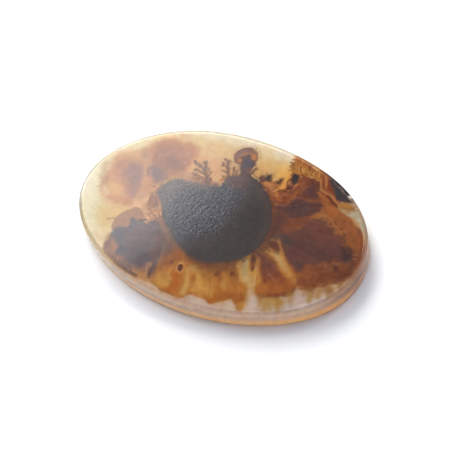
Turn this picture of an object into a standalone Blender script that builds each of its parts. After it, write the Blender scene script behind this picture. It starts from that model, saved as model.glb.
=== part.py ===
# Dendritic agate specimen: one polished oval slab of agate, lying flat.
#
# The stone is a single piece. It is sawn as a slab, ground to an oval by
# hand, given a shallow bevel round its polished face and a smaller one round
# its back, and its arrises are softened by the polish. Everything is in
# metres, +Z up. The long axis of the oval is X, the polished face is up, and
# the origin is the middle of the flat back, which it rests on.

import math

import bmesh
import bpy

# Driving dimensions
LENGTH = 0.0500            # oval, along X
WIDTH = 0.0324             # oval, along Y
THICKNESS = 0.00325        # flat back to polished face
FACE_BEVEL_IN = 0.00068    # how far the bevel of the polished face comes in
FACE_BEVEL_DROP = 0.00035  # how far it falls from the face to the wall
BACK_BEVEL_IN = 0.00040    # the same two sizes at the back
BACK_BEVEL_DROP = 0.00025
ARRIS = 0.00012            # width of the polish's rounding on each edge
ARRIS_STEPS = 2
SIDES = 144                # straight sides that stand for the oval

# An oval ground by hand is a little uneven. Each wave is its number of
# humps round the rim, its height, and the angle where it is highest.
RIM_WAVES = (
    (3, 0.000056, math.radians(233)),
    (4, 0.000039, math.radians(165)),
    (5, 0.000079, math.radians(229)),
)

# Finish
AGATE_COLOR = (0.36, 0.17, 0.07, 1.0)
AGATE_ROUGHNESS = 0.12

COLLECTION_NAME = "dendritic_agate"
NODE_NAME = "agate_slab"


def clear_scene():
    """Remove whatever the file starts with."""
    for old in list(bpy.data.objects):
        bpy.data.objects.remove(old, do_unlink=True)


def rim_point(turn):
    """Point of the rim at an angle: the oval plus its small hand-cut waves."""
    wave = sum(height * math.cos(humps * turn - crest)
               for humps, height, crest in RIM_WAVES)
    return ((LENGTH / 2 + wave) * math.cos(turn),
            (WIDTH / 2 + wave) * math.sin(turn))


def polished_stone():
    """Principled material in the stone's mean colour, with a glassy polish."""
    material = bpy.data.materials.new("agate")
    material.use_nodes = True
    shader = material.node_tree.nodes["Principled BSDF"]
    shader.inputs["Base Color"].default_value = AGATE_COLOR
    shader.inputs["Roughness"].default_value = AGATE_ROUGHNESS
    shader.inputs["Metallic"].default_value = 0.0
    return material


def flat_cap(blank, upwards):
    """The blank's flat end face that looks up, or the one that looks down."""
    blank.faces.ensure_lookup_table()
    blank.normal_update()
    return max(blank.faces, key=lambda face: face.normal.z * (1 if upwards else -1))


def agate_slab():
    """The oval blank, with its two bevels inset from its flat faces."""
    wall_bottom = BACK_BEVEL_DROP
    wall_top = THICKNESS - FACE_BEVEL_DROP

    blank = bmesh.new()
    bmesh.ops.create_cone(blank, cap_ends=True, segments=SIDES,
                          radius1=1.0, radius2=1.0, depth=2.0)
    for vert in blank.verts:
        x, y = rim_point(math.atan2(vert.co.y, vert.co.x))
        vert.co = (x, y, wall_top if vert.co.z > 0 else wall_bottom)

    bmesh.ops.inset_region(blank, faces=[flat_cap(blank, True)], use_even_offset=True,
                           thickness=FACE_BEVEL_IN, depth=FACE_BEVEL_DROP)
    bmesh.ops.inset_region(blank, faces=[flat_cap(blank, False)], use_even_offset=True,
                           thickness=BACK_BEVEL_IN, depth=BACK_BEVEL_DROP)

    mesh = bpy.data.meshes.new(NODE_NAME)
    blank.to_mesh(mesh)
    blank.free()
    mesh.shade_smooth()
    mesh.materials.append(polished_stone())

    slab = bpy.data.objects.new(NODE_NAME, mesh)
    rounding = slab.modifiers.new("softened arrises", "BEVEL")
    rounding.width = ARRIS
    rounding.segments = ARRIS_STEPS
    rounding.limit_method = "ANGLE"
    rounding.angle_limit = math.radians(15)
    return slab


def build():
    clear_scene()
    collection = bpy.data.collections.new(COLLECTION_NAME)
    bpy.context.scene.collection.children.link(collection)
    collection.objects.link(agate_slab())


build()
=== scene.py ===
# %% [markdown]
# A polished slab of dendritic agate
#
# The real object is one oval slice of agate, about as long as a thumb, ground flat, bevelled round the
# edge and polished like glass. Everything worth looking at is in its colour: iron stains in cream,
# amber and rust, and black, moss-like growths of manganese oxide. The shape is simple, so most of this
# lesson is about painting a natural stone with formulas.

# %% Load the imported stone
import math

import bpy
import numpy as np
from mathutils import Matrix, Vector


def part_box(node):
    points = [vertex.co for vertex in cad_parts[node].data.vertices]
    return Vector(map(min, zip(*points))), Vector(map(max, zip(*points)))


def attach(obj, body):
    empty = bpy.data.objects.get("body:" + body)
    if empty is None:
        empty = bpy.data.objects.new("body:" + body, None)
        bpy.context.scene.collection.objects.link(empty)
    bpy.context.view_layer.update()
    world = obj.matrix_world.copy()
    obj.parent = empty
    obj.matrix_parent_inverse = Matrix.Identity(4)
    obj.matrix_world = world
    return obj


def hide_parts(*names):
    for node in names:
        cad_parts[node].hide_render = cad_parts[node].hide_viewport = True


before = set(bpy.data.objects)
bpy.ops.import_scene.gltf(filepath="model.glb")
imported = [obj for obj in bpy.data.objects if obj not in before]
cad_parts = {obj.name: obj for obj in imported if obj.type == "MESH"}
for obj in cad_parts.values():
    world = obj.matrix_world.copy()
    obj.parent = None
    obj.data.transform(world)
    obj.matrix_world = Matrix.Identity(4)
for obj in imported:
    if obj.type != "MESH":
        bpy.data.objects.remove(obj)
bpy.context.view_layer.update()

MM = 0.001
low, high = (np.array(corner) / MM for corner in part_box("agate_slab"))
THICKNESS = high[2]
print("the solid measures", np.round(high - low, 3), "mm")

# %% [markdown]
# The camera
#
# The photograph looks down on the stone from about 55 degrees above the table, with a long lens, and
# the camera is turned a little about its own axis, so the oval lies slanted in the picture. The lens
# and the small shift put the middle of the stone's back on the pixel where the photograph has it.

# %% Set the camera
VIEW_AZIMUTH = math.radians(43.27)
VIEW_ELEVATION = math.radians(55.0)
VIEW_ROLL = math.radians(18.0)
VIEW_DISTANCE = 300.0
PICTURE_SIDE_PX = 460.0
FOCAL_PX = 1876.3
STONE_PX = (224.06, 230.39)      # the middle of the stone's back in the photograph
SENSOR_MM = 36.0
NEAREST_M, FARTHEST_M = 0.01, 10.0


def away_from_stone(azimuth, elevation):
    """Unit vector away from the stone: azimuth 0 is the side of -Y and 90 degrees is +X."""
    return Vector((math.sin(azimuth) * math.cos(elevation),
                   -math.cos(azimuth) * math.cos(elevation),
                   math.sin(elevation)))


camera = bpy.data.objects.new("camera", bpy.data.cameras.new("camera"))
bpy.context.collection.objects.link(camera)
back = away_from_stone(VIEW_AZIMUTH, VIEW_ELEVATION)
turned = (-back).to_track_quat("-Z", "Y").to_matrix() @ Matrix.Rotation(-VIEW_ROLL, 3, "Z")
camera.matrix_world = Matrix.Translation(back * VIEW_DISTANCE * MM) @ turned.to_4x4()
camera.data.sensor_width = SENSOR_MM
camera.data.lens = SENSOR_MM * FOCAL_PX / PICTURE_SIDE_PX
camera.data.shift_x = (PICTURE_SIDE_PX / 2 - STONE_PX[0]) / PICTURE_SIDE_PX
camera.data.shift_y = (STONE_PX[1] - PICTURE_SIDE_PX / 2) / PICTURE_SIDE_PX
camera.data.clip_start, camera.data.clip_end = NEAREST_M, FARTHEST_M
bpy.context.scene.camera = camera
print("lens", round(camera.data.lens, 1), "mm")

# %% [markdown]
# The light
#
# The stone lies on white in a dim, slightly blue room, lit by six soft lamps. The biggest stands low
# behind the left end, and its mirror image lies across the upper left of the polished face as a milky
# veil. Three smaller ones behind and a cool one overhead give the short soft shadow in front. A warm card,
# low on the camera's side, brings out the amber of the front wall. All are soft-edged patches of the
# world, so they light the stone in every view and never stand in the picture.

# %% Light the room
AIR_BRIGHTNESS, AIR_COLOR = 0.12, (0.78, 1.0, 1.52, 1.0)
PLAIN = (1.0, 0.992, 0.965, 1.0)
COOL, WARM = (0.90, 1.0, 1.13, 1.0), (1.06, 0.985, 0.87, 1.0)
ORANGE = (1.0, 0.70, 0.42, 1.0)
SOFTBOXES = (            # direction, radius and soft edge in degrees, brightness, colour
    ((-0.7301, 0.4662, 0.4996), 25.75, 2.6, 4.75, PLAIN),     # the veil, low behind the left end
    ((-0.0533, 0.0811, 0.9953), 21.0, 8.0, 1.95, COOL),       # overhead
    ((-0.5237, 0.7208, 0.4540), 18.0, 8.0, 4.8, WARM),        # straight behind
    ((-0.6178, 0.1201, 0.7771), 9.0, 6.0, 4.0, WARM),         # high at the left
    ((0.1619, 0.6493, 0.7431), 6.0, 4.0, 12.5, WARM),         # high behind the right end
    ((0.6855, -0.7278, 0.0175), 8.0, 3.0, 29.0, ORANGE),      # the warm card on the camera's side
)

world = bpy.data.worlds.new("white room")
bpy.context.scene.world = world
world.use_nodes = True
room = world.node_tree
look = room.nodes.new("ShaderNodeTexCoord")
air = room.nodes["Background"]
air.inputs["Color"].default_value = AIR_COLOR
air.inputs["Strength"].default_value = AIR_BRIGHTNESS
light = air.outputs[0]
for place, radius, edge, bright, color in SOFTBOXES:
    toward = room.nodes.new("ShaderNodeVectorMath")
    toward.operation = "DOT_PRODUCT"
    room.links.new(look.outputs["Generated"], toward.inputs[0])
    toward.inputs[1].default_value = Vector(place).normalized()
    patch = room.nodes.new("ShaderNodeMapRange")
    patch.interpolation_type = "SMOOTHSTEP"
    patch.inputs["From Min"].default_value = math.cos(math.radians(radius + edge / 2))
    patch.inputs["From Max"].default_value = math.cos(math.radians(radius - edge / 2))
    patch.inputs["To Max"].default_value = bright
    room.links.new(toward.outputs["Value"], patch.inputs["Value"])
    lamp = room.nodes.new("ShaderNodeBackground")
    lamp.inputs["Color"].default_value = color
    room.links.new(patch.outputs["Result"], lamp.inputs["Strength"])
    both = room.nodes.new("ShaderNodeAddShader")
    room.links.new(light, both.inputs[0])
    room.links.new(lamp.outputs[0], both.inputs[1])
    light = both.outputs[0]
room.links.new(light, room.nodes["World Output"].inputs["Surface"])
bpy.context.scene.view_settings.view_transform = "Standard"
print(len(SOFTBOXES), "softboxes")

# %% [markdown]
# The table
#
# The shadow needs something to fall on, so a matt white sheet lies under the stone: one square face
# without any shine. It is stage and not a part of the object.

# %% Lay the white table
TABLE_SIDE = 900.0
TABLE_WHITE = (0.95, 0.95, 0.95, 1.0)

table_mesh = bpy.data.meshes.new("table")
half = TABLE_SIDE / 2 * MM
corners = [(-half, -half, 0), (half, -half, 0), (half, half, 0), (-half, half, 0)]
table_mesh.from_pydata(corners, [], [(0, 1, 2, 3)])
table = bpy.data.objects.new("table", table_mesh)
bpy.context.collection.objects.link(table)
table_paint = bpy.data.materials.new("table white")
table_paint.use_nodes = True
table_shader = table_paint.node_tree.nodes["Principled BSDF"]
table_shader.inputs["Base Color"].default_value = TABLE_WHITE
table_shader.inputs["Roughness"].default_value = 1.0
table_shader.inputs["Specular IOR Level"].default_value = 0.0
table_mesh.materials.append(table_paint)
print("table", TABLE_SIDE, "mm square")

# %% [markdown]
# The stone's shape
#
# The slab is an oval cut by hand, so its rim is an ellipse with a few slow waves. It is built here as
# one skin: a fine square grid is wrapped onto the polished face, because the face carries the pattern,
# and rings go down over the bevel, the wall and the back's bevel to close it underneath. The grid is
# fine enough, about 0.15 mm, to hold every stain and twig as colour on its own points.

# %% Draw the hand-cut oval
FACE_COLUMNS, FACE_ROWS = 320, 206
RIM_WAVES = (            # humps round the rim, height in mm, angle of the first crest
    (3, 0.056, math.radians(233)),
    (4, 0.039, math.radians(165)),
    (5, 0.079, math.radians(229)),
)
HALF_LONG, HALF_WIDE = 25.0, 16.2


def hand_cut_oval(turn, inset=0.0):
    """Rim point at an angle: an ellipse plus three waves, less an inset, all along the half axes."""
    wave = sum(height * np.cos(humps * turn - crest) for humps, height, crest in RIM_WAVES)
    return np.stack([(HALF_LONG + wave - inset) * np.cos(turn),
                     (HALF_WIDE + wave - inset) * np.sin(turn)], -1)


def concentric_disc(columns, rows):
    """Square grid bent into a disc: the larger of |u| and |v| is the radius, and the smaller over the
    larger, times 45 degrees, is the turn away from that side."""
    u, v = np.meshgrid(np.linspace(-1, 1, columns), np.linspace(-1, 1, rows))
    flat = np.abs(u) >= np.abs(v)
    safe_u, safe_v = np.where(u == 0, 1, u), np.where(v == 0, 1, v)
    radius = np.where(flat, u, v)
    turn = np.where(flat, math.pi / 4 * v / safe_u, math.pi / 2 - math.pi / 4 * u / safe_v)
    x, y = radius * np.cos(turn), radius * np.sin(turn)
    return np.hypot(x, y), np.arctan2(y, x)


reach, turn = concentric_disc(FACE_COLUMNS, FACE_ROWS)
grid_index = np.arange(reach.size).reshape(reach.shape)
print("face grid", reach.shape)

# %% [markdown]
# The edge
#
# Three flats make the edge: the shallow bevel that meets the face, the upright wall and a smaller bevel
# at the back. Polishing softens the arrises between them, so each corner of the section is swapped for
# a short curve.

# %% Shape the edge
BEVEL_IN, BEVEL_DROP = 0.68, 0.35
BACK_IN, BACK_DROP = 0.40, 0.25
ARRIS_CUT, ARRIS_STEPS = 0.06, 3
FLAT_END, WALL_END = 0.3, 0.9    # how far the drawn section runs on over the flats and along the wall
BACK_RINGS = 6


def softened(corners, cut, steps):
    """Section with rounded corners: each becomes a curve between points `cut` away along its sides.

    A guard point on each side, two cuts further off, keeps the flats between the corners flat."""
    line = [corners[0]]
    for before, corner, after in zip(corners[:-2], corners[1:-1], corners[2:]):
        before, corner, after = map(np.array, (before, corner, after))
        back = (before - corner) / np.linalg.norm(before - corner)
        ahead = (after - corner) / np.linalg.norm(after - corner)
        start, end = corner + back * cut, corner + ahead * cut
        line += [start + back * 2 * cut]
        line += [(1 - s) ** 2 * start + 2 * s * (1 - s) * corner + s * s * end
                 for s in np.linspace(0, 1, steps)]
        line += [end + ahead * 2 * cut]
    return np.array(line + [corners[-1]])


wall_top, wall_foot = THICKNESS - BEVEL_DROP, BACK_DROP
section = np.concatenate([
    softened([(BEVEL_IN + FLAT_END, THICKNESS), (BEVEL_IN, THICKNESS), (0.0, wall_top),
              (0.0, wall_top - WALL_END)], ARRIS_CUT, ARRIS_STEPS),
    softened([(0.0, wall_foot + WALL_END), (0.0, wall_foot), (BACK_IN, 0.0),
              (BACK_IN + FLAT_END, 0.0)], ARRIS_CUT, ARRIS_STEPS)])
rim_index = np.concatenate([grid_index[0, :-1], grid_index[:-1, -1],
                            grid_index[-1, :0:-1], grid_index[:0:-1, 0]])
rim_turn = turn.reshape(-1)[rim_index]

levels = [(inset, height, 1.0) for inset, height in section[1:]]
levels += [(section[-1, 0], 0.0, 1 - ring / BACK_RINGS) for ring in range(1, BACK_RINGS)]
face = np.column_stack([(reach[..., None] * hand_cut_oval(turn, section[0, 0])).reshape(-1, 2),
                        np.full(reach.size, THICKNESS)])
rings = [np.column_stack([hand_cut_oval(rim_turn, inset) * scale, np.full(len(rim_turn), height)])
         for inset, height, scale in levels]
points = np.concatenate([face] + rings + [np.zeros((1, 3))])
middle = (points[:, :2].max(0) + points[:, :2].min(0)) / 2
span = np.ptp(points[:, :2], axis=0)
points[:, :2] = (points[:, :2] - middle) * (high - low)[:2] / span + (high + low)[:2] / 2
print("skin points", len(points))

# %% [markdown]
# Small damage
#
# The photographed stone has a knock on the front of its rim, just under the bevel, and one tiny chip at
# the back of the bevel. Both are real dents: points near the middle of the dent are pushed towards the
# stone's axis, most in the middle and not at all at its edge.

# %% Knock the rim
DENTS = (                # middle of the dent, how far it reaches along and across the rim, depth, all mm
    ((4.6, -15.9, 2.86), 0.75, 0.20, 0.13),
    ((17.4, 11.3, 3.08), 0.28, 0.22, 0.09),
)
for center, along, across, depth in DENTS:
    offset = points - np.array(center)
    share = np.clip(1 - (offset[:, 0] / along) ** 2
                    - (np.hypot(offset[:, 1], offset[:, 2]) / across) ** 2, 0, 1)
    inward = -points / np.maximum(np.linalg.norm(points[:, :2], axis=1), 1.0)[:, None]
    points[:, :2] += (inward * (share * depth)[:, None])[:, :2]
    print("dent points", int((share > 0).sum()))

# %% [markdown]
# Colours and noise
#
# Stain in a stone is never even, so everything below is painted with noise: fixed random numbers on a
# grid, blended smoothly, then finer copies added at half the strength. Colours are given as they look
# on a screen and turned into amounts of light before they are mixed.

# %% Make noise and colours
def rgb(red, green, blue):
    """Screen colour, 0 to 255, as light: each share plus 0.055, over 1.055, to the power 2.4."""
    share = np.array([red, green, blue]) / 255
    return np.where(share <= 0.04045, share / 12.92, ((share + 0.055) / 1.055) ** 2.4)


def smooth(share):
    """Soft step: 0 below 0, 1 above 1, and 3 t squared less 2 t cubed in between."""
    t = np.clip(share, 0, 1)
    return t * t * (3 - 2 * t)


def chance(i, j, seed):
    """Fixed random number, -1 to 1, of a grid cell: the last digits of a large sine of its place."""
    big = np.sin(i * 127.1 + j * 311.7 + seed * 74.7) * 43758.5453
    return 2 * (big - np.floor(big)) - 1


def noise(x, y, seed, octaves=3):
    """Smooth noise, about -1 to 1: blends the numbers of the four nearest cells, then adds finer copies."""
    total, strength = 0.0, 0.6
    for _ in range(octaves):
        i, j = np.floor(x), np.floor(y)
        u, v = smooth(x - i), smooth(y - j)
        lower = chance(i, j, seed) * (1 - u) + chance(i + 1, j, seed) * u
        upper = chance(i, j + 1, seed) * (1 - u) + chance(i + 1, j + 1, seed) * u
        total = total + strength * (lower * (1 - v) + upper * v)
        x, y, seed, strength = x * 2.03 + 5.2, y * 2.03 + 1.3, seed + 17, strength / 2
    return total


print("noise check", np.round(noise(np.array([0.3, 4.7]), np.array([1.1, 2.2]), 3), 3))

# %% [markdown]
# Outlines
#
# Each marking is a closed curve through a few points, in mm on the face. What the paint needs from it
# is one number at every point of the skin: how deep inside the curve it lies. Twigs are the same idea
# with a line: how far a point lies inside a tapering cord round the line.

# %% Measure the outlines
def curve_through(points, closed=True, steps=4):
    """Smooth curve through points: between two of them it blends four neighbours with cubic weights."""
    p = np.array(points, float)
    ring = (lambda shift: np.roll(p, -shift, 0)) if closed else (
        lambda shift: p[np.clip(np.arange(len(p)) + shift, 0, len(p) - 1)])
    a, b, c, d = ring(-1), ring(0), ring(1), ring(2)
    t = (np.arange(steps) / steps)[:, None, None]
    curve = 0.5 * (2 * b + (c - a) * t + (2 * a - 5 * b + 4 * c - d) * t ** 2
                   + (3 * b - a - 3 * c + d) * t ** 3)
    curve = curve.transpose(1, 0, 2).reshape(-1, 2)
    return curve if closed else np.concatenate([curve[:(len(p) - 1) * steps], p[-1:]])


def depth_inside(spots, points):
    """Depth inside a closed curve, mm, negative outside: the distance to the nearest side, with its sign
    from how often a line drawn to the right crosses the curve."""
    curve = curve_through(points)
    nearest, inside = np.full(len(spots), 1e9), np.zeros(len(spots), bool)
    x, y = spots[:, 0], spots[:, 1]
    for (x0, y0), (x1, y1) in zip(curve, np.roll(curve, -1, 0)):
        dx, dy = x1 - x0, y1 - y0
        share = np.clip(((x - x0) * dx + (y - y0) * dy) / (dx * dx + dy * dy + 1e-12), 0, 1)
        nearest = np.minimum(nearest, (x - x0 - share * dx) ** 2 + (y - y0 - share * dy) ** 2)
        if y0 != y1:
            inside ^= ((y0 > y) != (y1 > y)) & (x < x0 + (y - y0) * dx / dy)
    return np.sqrt(nearest) * np.where(inside, 1, -1)


def depth_in_cord(spots, points, thick, thin):
    """Depth inside a cord along a line, mm: its half width, which tapers from `thick` to `thin`, less the
    distance from the line."""
    curve = curve_through(points, closed=False, steps=3)
    depth = np.full(len(spots), -1e9)
    x, y = spots[:, 0], spots[:, 1]
    for k, ((x0, y0), (x1, y1)) in enumerate(zip(curve[:-1], curve[1:])):
        dx, dy = x1 - x0, y1 - y0
        share = np.clip(((x - x0) * dx + (y - y0) * dy) / (dx * dx + dy * dy + 1e-12), 0, 1)
        half = thick + (thin - thick) * (k + share) / (len(curve) - 1)
        depth = np.maximum(depth, half / 2 - np.hypot(x - x0 - share * dx, y - y0 - share * dy))
    return depth


square = [(-1, -1), (1, -1), (1, 1), (-1, 1)]
print("a 2 mm square is", np.round(depth_inside(np.zeros((1, 2)), square), 2), "deep")

# %% [markdown]
# The brushes
#
# Six brushes paint the skin. `stain` lays a colour inside an outline with a soft, uneven edge, and
# `streak` lays it along a line. `soot` is for the black growths: it keeps their depth as a number of its
# own, so that the shader can cut their edges sharper than the points of the skin. `tufts` and `specks`
# scatter small streaks as a fringe or as spots, and `fibres` adds grain. On the back, which is not seen
# in the photograph, every edge is spread over some millimetres, as if seen through the stone.
#
# All calls read alike: the colour, the outline or line in mm, and then plain numbers. For a stain these
# are how soft its edge is, how far noise moves that edge, and how strong it is. For a streak they are
# its width, how soft its sides are, and how strong it is; for tufts their length, thickness, spacing and
# strength; for specks how many, how wide and how strong.

# %% Prepare the layers
spots = points[:, :2]
BACK_TOP, BACK_FADE = 0.6, 0.5   # the back's look begins below this height and is full this much lower
underside = smooth((BACK_TOP - points[:, 2]) / BACK_FADE)
BACK_BLUR = 3.5
SOOT_EDGE = 0.07
MILKY, OXIDE = (188, 164, 114), (64, 58, 54)
coat = np.tile(rgb(*MILKY), (len(spots), 1))
ink = np.tile(rgb(*OXIDE), (len(spots), 1))
OUTSIDE, INK_MARGIN = -1.0, -0.6    # soot depth where there is none; how far out its colour is laid, mm
soot_depth = np.full(len(spots), OUTSIDE)
soot_crisp = np.ones(len(spots))
print("layers for", len(spots), "points")

# %% Make the soft brushes
def nearby(points, margin):
    """Which skin points lie within a margin of the box round an outline."""
    box = np.array(points, float)
    return np.flatnonzero(((spots > box.min(0) - margin) & (spots < box.max(0) + margin)).all(1))


def uneven(where, size, seed, spokes):
    """Noise at some points. Spokes give a centre and a distance: the noise is then read along the circle
    and the radius round that centre, five times as long along the radius."""
    x, y = spots[where].T
    if spokes is None:
        return noise(x / size, y / size, seed)
    radius, angle = np.hypot(x - spokes[0], y - spokes[1]), np.arctan2(y - spokes[1], x - spokes[0])
    return noise(angle * spokes[2] / size, radius / size / 5, seed)


def blend(on, where, color, share):
    """Mix a colour into some points of a coat, by a share for each."""
    on[where] += (rgb(*color) - on[where]) * share[:, None]


def stain(color, points, soft=0.6, ripple=0.2, strength=1.0, size=0.7, patchy=0.0, spokes=None, on=None,
          seed=None):
    """Colour inside an outline: the share climbs over `soft` mm, across an edge that noise of some `size`
    moves by `ripple` mm; `patchy` takes away up to that share in spots."""
    where = nearby(points, soft + ripple + BACK_BLUR)
    seed = len(points) + int(abs(points[0][0] * 10)) if seed is None else seed
    depth = depth_inside(spots[where], points)
    depth += ripple * uneven(where, size, seed, spokes) * (1 - underside[where])
    share = strength * smooth(depth / (soft + BACK_BLUR * underside[where]) + 0.5)
    if patchy:
        share *= 1 - patchy * smooth(0.5 + uneven(where, size * 2.2, seed + 5, spokes))
    blend(coat if on is None else on, where, color, share)


def streak(color, points, thick, soft=0.2, strength=1.0, thin=None, on=None):
    """Colour along a line of a given width, soft at its sides."""
    where = nearby(points, thick + soft)
    depth = depth_in_cord(spots[where], points, thick, thick if thin is None else thin)
    share = strength * smooth(depth / soft + 0.5) * (1 - underside[where])
    blend(coat if on is None else on, where, color, share)


print("stain and streak ready")

# %% Make the soot brush
def soot(color, points, thick=None, thin=None, ripple=0.06, size=0.35, seed=11, soft=SOOT_EDGE):
    """Black growth, as an outline or, with a thickness, as a twig: its depth is kept if it is the greater.

    `soft` is the width of its edge in mm, or a formula that gives it from x and y."""
    where = nearby(points, 1.5)
    depth = (depth_inside(spots[where], points) if thick is None
             else depth_in_cord(spots[where], points, thick, thick if thin is None else thin))
    depth += ripple * uneven(where, size, seed, None)
    crisp = SOOT_EDGE / (soft(*spots[where].T) if callable(soft) else np.full(len(where), soft))
    depth = np.maximum(depth * crisp, OUTSIDE)
    mine = depth > np.maximum(soot_depth[where], INK_MARGIN)
    ink[where[mine]] = rgb(*color)
    closer = depth > soot_depth[where]
    soot_crisp[where[closer]] = crisp[closer]
    soot_depth[where] = np.maximum(soot_depth[where], depth)


print("soot ready")

# %% Make the small brushes
def tufts(color, points, length, thick=0.25, every=0.4, strength=0.7, seed=1, lean=0.0, soft=0.2):
    """Fringe of short strokes to the left of a line, or to its right if `length` is negative: one each
    `every` mm, uneven in length, turn and strength."""
    curve = curve_through(points, closed=False, steps=8)
    run = np.concatenate([[0], np.cumsum(np.hypot(*np.diff(curve, axis=0).T))])
    dice = np.random.default_rng(seed)
    for place in np.arange(every / 2, run[-1], every):
        place += dice.uniform(-0.3, 0.3) * every
        root, ahead = (np.array([np.interp(s, run, curve[:, 0]), np.interp(s, run, curve[:, 1])])
                       for s in (place, place + 0.1))
        turn_by = math.pi / 2 + lean + dice.normal(0, 0.35)
        along = (ahead - root) / max(np.hypot(*(ahead - root)), 1e-6)
        way = np.array([along[0] * math.cos(turn_by) - along[1] * math.sin(turn_by),
                        along[0] * math.sin(turn_by) + along[1] * math.cos(turn_by)])
        reach_out = length * dice.uniform(0.45, 1.3)
        line = [root - 0.15 * way, root + 0.5 * reach_out * way + dice.normal(0, 0.05, 2),
                root + reach_out * way]
        streak(color, line, thick, soft, strength * dice.uniform(0.5, 1.0), thin=thick * 0.5)


def specks(color, points, count, size, strength=0.7, seed=1, soft=0.2):
    """Small spots scattered inside an outline, uneven in size and strength."""
    dice = np.random.default_rng(seed)
    box = np.array(points, float)
    places = dice.uniform(box.min(0), box.max(0), (count * 3, 2))
    places = places[depth_inside(places, points) > 0][:count]
    for place in places:
        streak(color, [place, place + dice.normal(0, size * 0.5, 2)], size * dice.uniform(0.6, 1.3),
               soft, strength * dice.uniform(0.5, 1.0))


def fibres(points, size, contrast, seed, spokes=None, soft=0.8):
    """Lighter and darker grain inside an outline: the colours there times 1 plus noise."""
    where = nearby(points, soft)
    share = smooth(depth_inside(spots[where], points) / soft + 0.5) * (1 - underside[where])
    coat[where] *= (1 + contrast * share * uneven(where, size, seed, spokes))[:, None]


print("tufts, specks and fibres ready")

# %% [markdown]
# The pale body
#
# Under all the stain the stone is milky chalcedony, and its tint drifts slowly: ivory at the left end,
# straw yellow above, grey-pink and clear along the front, its grey partly painted shade of the shadowed
# table seen through it. Each drift is a soft round tint that fades out from its middle as a bell curve
# does.

# %% Tint the body
BODY_TINTS = (           # middle, reach along x and y in mm, colour, strength
    ((-23.4, -2.6), (5.2, 6.4), (218, 215, 186), 1),
    ((-19.8, -6.4), (3.6, 3.2), (186, 160, 92), 0.9),
    ((-18, -10), (4.5, 2.6), (184, 160, 104), 0.85),
    ((-20.5, 8.5), (3.5, 4), (208, 204, 158), 0.9),
    ((-14, 13), (5, 1.6), (202, 192, 134), 0.95),
    ((-12, 12.4), (2.6, 0.9), (196, 178, 112), 0.5),
    ((-8, 13.6), (5.5, 2.8), (190, 171, 120), 0.9),
    ((-8.6, 9.6), (2.4, 4), (192, 146, 78), 0.85),
    ((-5.6, 8.8), (2.8, 3.4), (192, 152, 110), 0.9),
    ((-5, 12.2), (3, 2.2), (197, 156, 98), 0.8),
    ((1.6, 14.8), (6, 2), (214, 203, 172), 0.95),
    ((5.2, 11.6), (1.7, 2), (214, 156, 70), 0.85),
    ((2, 12), (2.6, 1.9), (204, 164, 104), 0.9),
    ((1.7, 10.2), (1.6, 1.6), (186, 138, 76), 0.8),
    ((20.5, 8.2), (4.5, 2.6), (132, 112, 78), 1),
    ((24.6, 0), (1.3, 8), (178, 140, 115), 0.9),
    # the front tints: grey-pink clear stone, darkened with painted shade of the shadowed table under it
    ((15.5, -11), (9, 4.5), (172, 152, 142), 1),
    ((20.5, -7.6), (4, 3), (176, 162, 152), 1),
    ((18.6, -10.6), (3.5, 2), (184, 171, 162), 0.8),
    ((6, -15.4), (13, 2.2), (178, 154, 140), 1),
    ((-9, -15.6), (9, 1.8), (190, 164, 140), 0.95),
)
x, y = spots.T
for (at_x, at_y), (reach_x, reach_y), color, strength in BODY_TINTS:
    bell = np.exp(-((x - at_x) / reach_x) ** 2 - ((y - at_y) / reach_y) ** 2)
    blend(coat, slice(None), color, strength * bell)
RIM_LONG, RIM_WIDE, HAZE = 24.96, 16.17, (207, 203, 184)
out_to_rim = np.hypot(x / RIM_LONG, y / RIM_WIDE)
behind_left = smooth((0.45 - (x * 0.5 - y) / 22) / 0.5)
blend(coat, slice(None), HAZE, 0.6 * smooth((out_to_rim - 0.84) / 0.14) * behind_left)
coat *= (1 + 0.05 * noise(x / 3.5, y / 3.5, 2))[:, None]
print("mean body colour", np.round(coat.mean(0), 3))

# %% [markdown]
# The clouds at the left
#
# Two clouds of iron stain hang in the milky left end, pinkish tan with plum cores, and a pale channel
# runs between them. They lie deep in the stone, so their edges are soft over a millimetre or two. Each is
# painted from the outside in: a straw halo, the cloud, then its darker heart.

# %% Paint the first cloud
stain((191, 152, 92), [(-22.9, 4.2), (-21.2, 6.2), (-19, 7.6), (-17.9, 10), (-16.7, 11.1), (-14.5, 11.7),
    (-11.7, 11.6), (-9.5, 10.5), (-8.8, 8), (-9, 5), (-12, 2.4), (-12.6, -1), (-12, -4), (-14.5, -4.5),
    (-18.6, -4.5), (-20.6, -3.5), (-22.1, -1.4), (-23, 1.4)], 2.6, 0.8, 0.85, size=2.5)
stain((184, 130, 78), [(-22, 5.6), (-19.4, 7), (-18.4, 9.2), (-16.8, 10.4), (-14, 11.2), (-11, 11.2),
    (-9.4, 9.8), (-9.2, 6.4), (-10.6, 4.2), (-12.4, 2.4), (-13, -1), (-13.2, -3.4), (-16, -3.9),
    (-19.2, -3.3), (-20.5, -1), (-21.2, 2)], 2.4, 0.7, 0.75, size=1.8)
stain((186, 149, 78), [(-18.8, -4.4), (-16.4, -3.8), (-15.2, -5), (-15.8, -6.2), (-16.4, -8), (-18.2, -8),
    (-19.4, -6)], 2.2, 0.5, 0.8, size=1.5)
stain((166, 104, 54), [(-17.6, 9.4), (-16, 10.7), (-13.5, 11.3), (-11, 11.5), (-9.7, 10.4), (-9.4, 8.4),
    (-9.7, 6.4), (-9.9, 5.2), (-11.6, 4.2), (-12.4, 3), (-13, 1.5), (-14, 2.3), (-15.2, 4), (-16.2, 5.6),
    (-17.2, 7.4)], 1.5, 0.6, size=1.3)
stain((138, 85, 60), [(-16.6, 8.8), (-15, 10), (-12.5, 10.2), (-10.4, 9), (-10, 6.2), (-11, 5), (-12.4, 3),
    (-13.4, 1.8), (-14.6, 3), (-15.8, 5), (-16.6, 6.8)], 2, 0.6, size=1.1, patchy=0.3)
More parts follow.
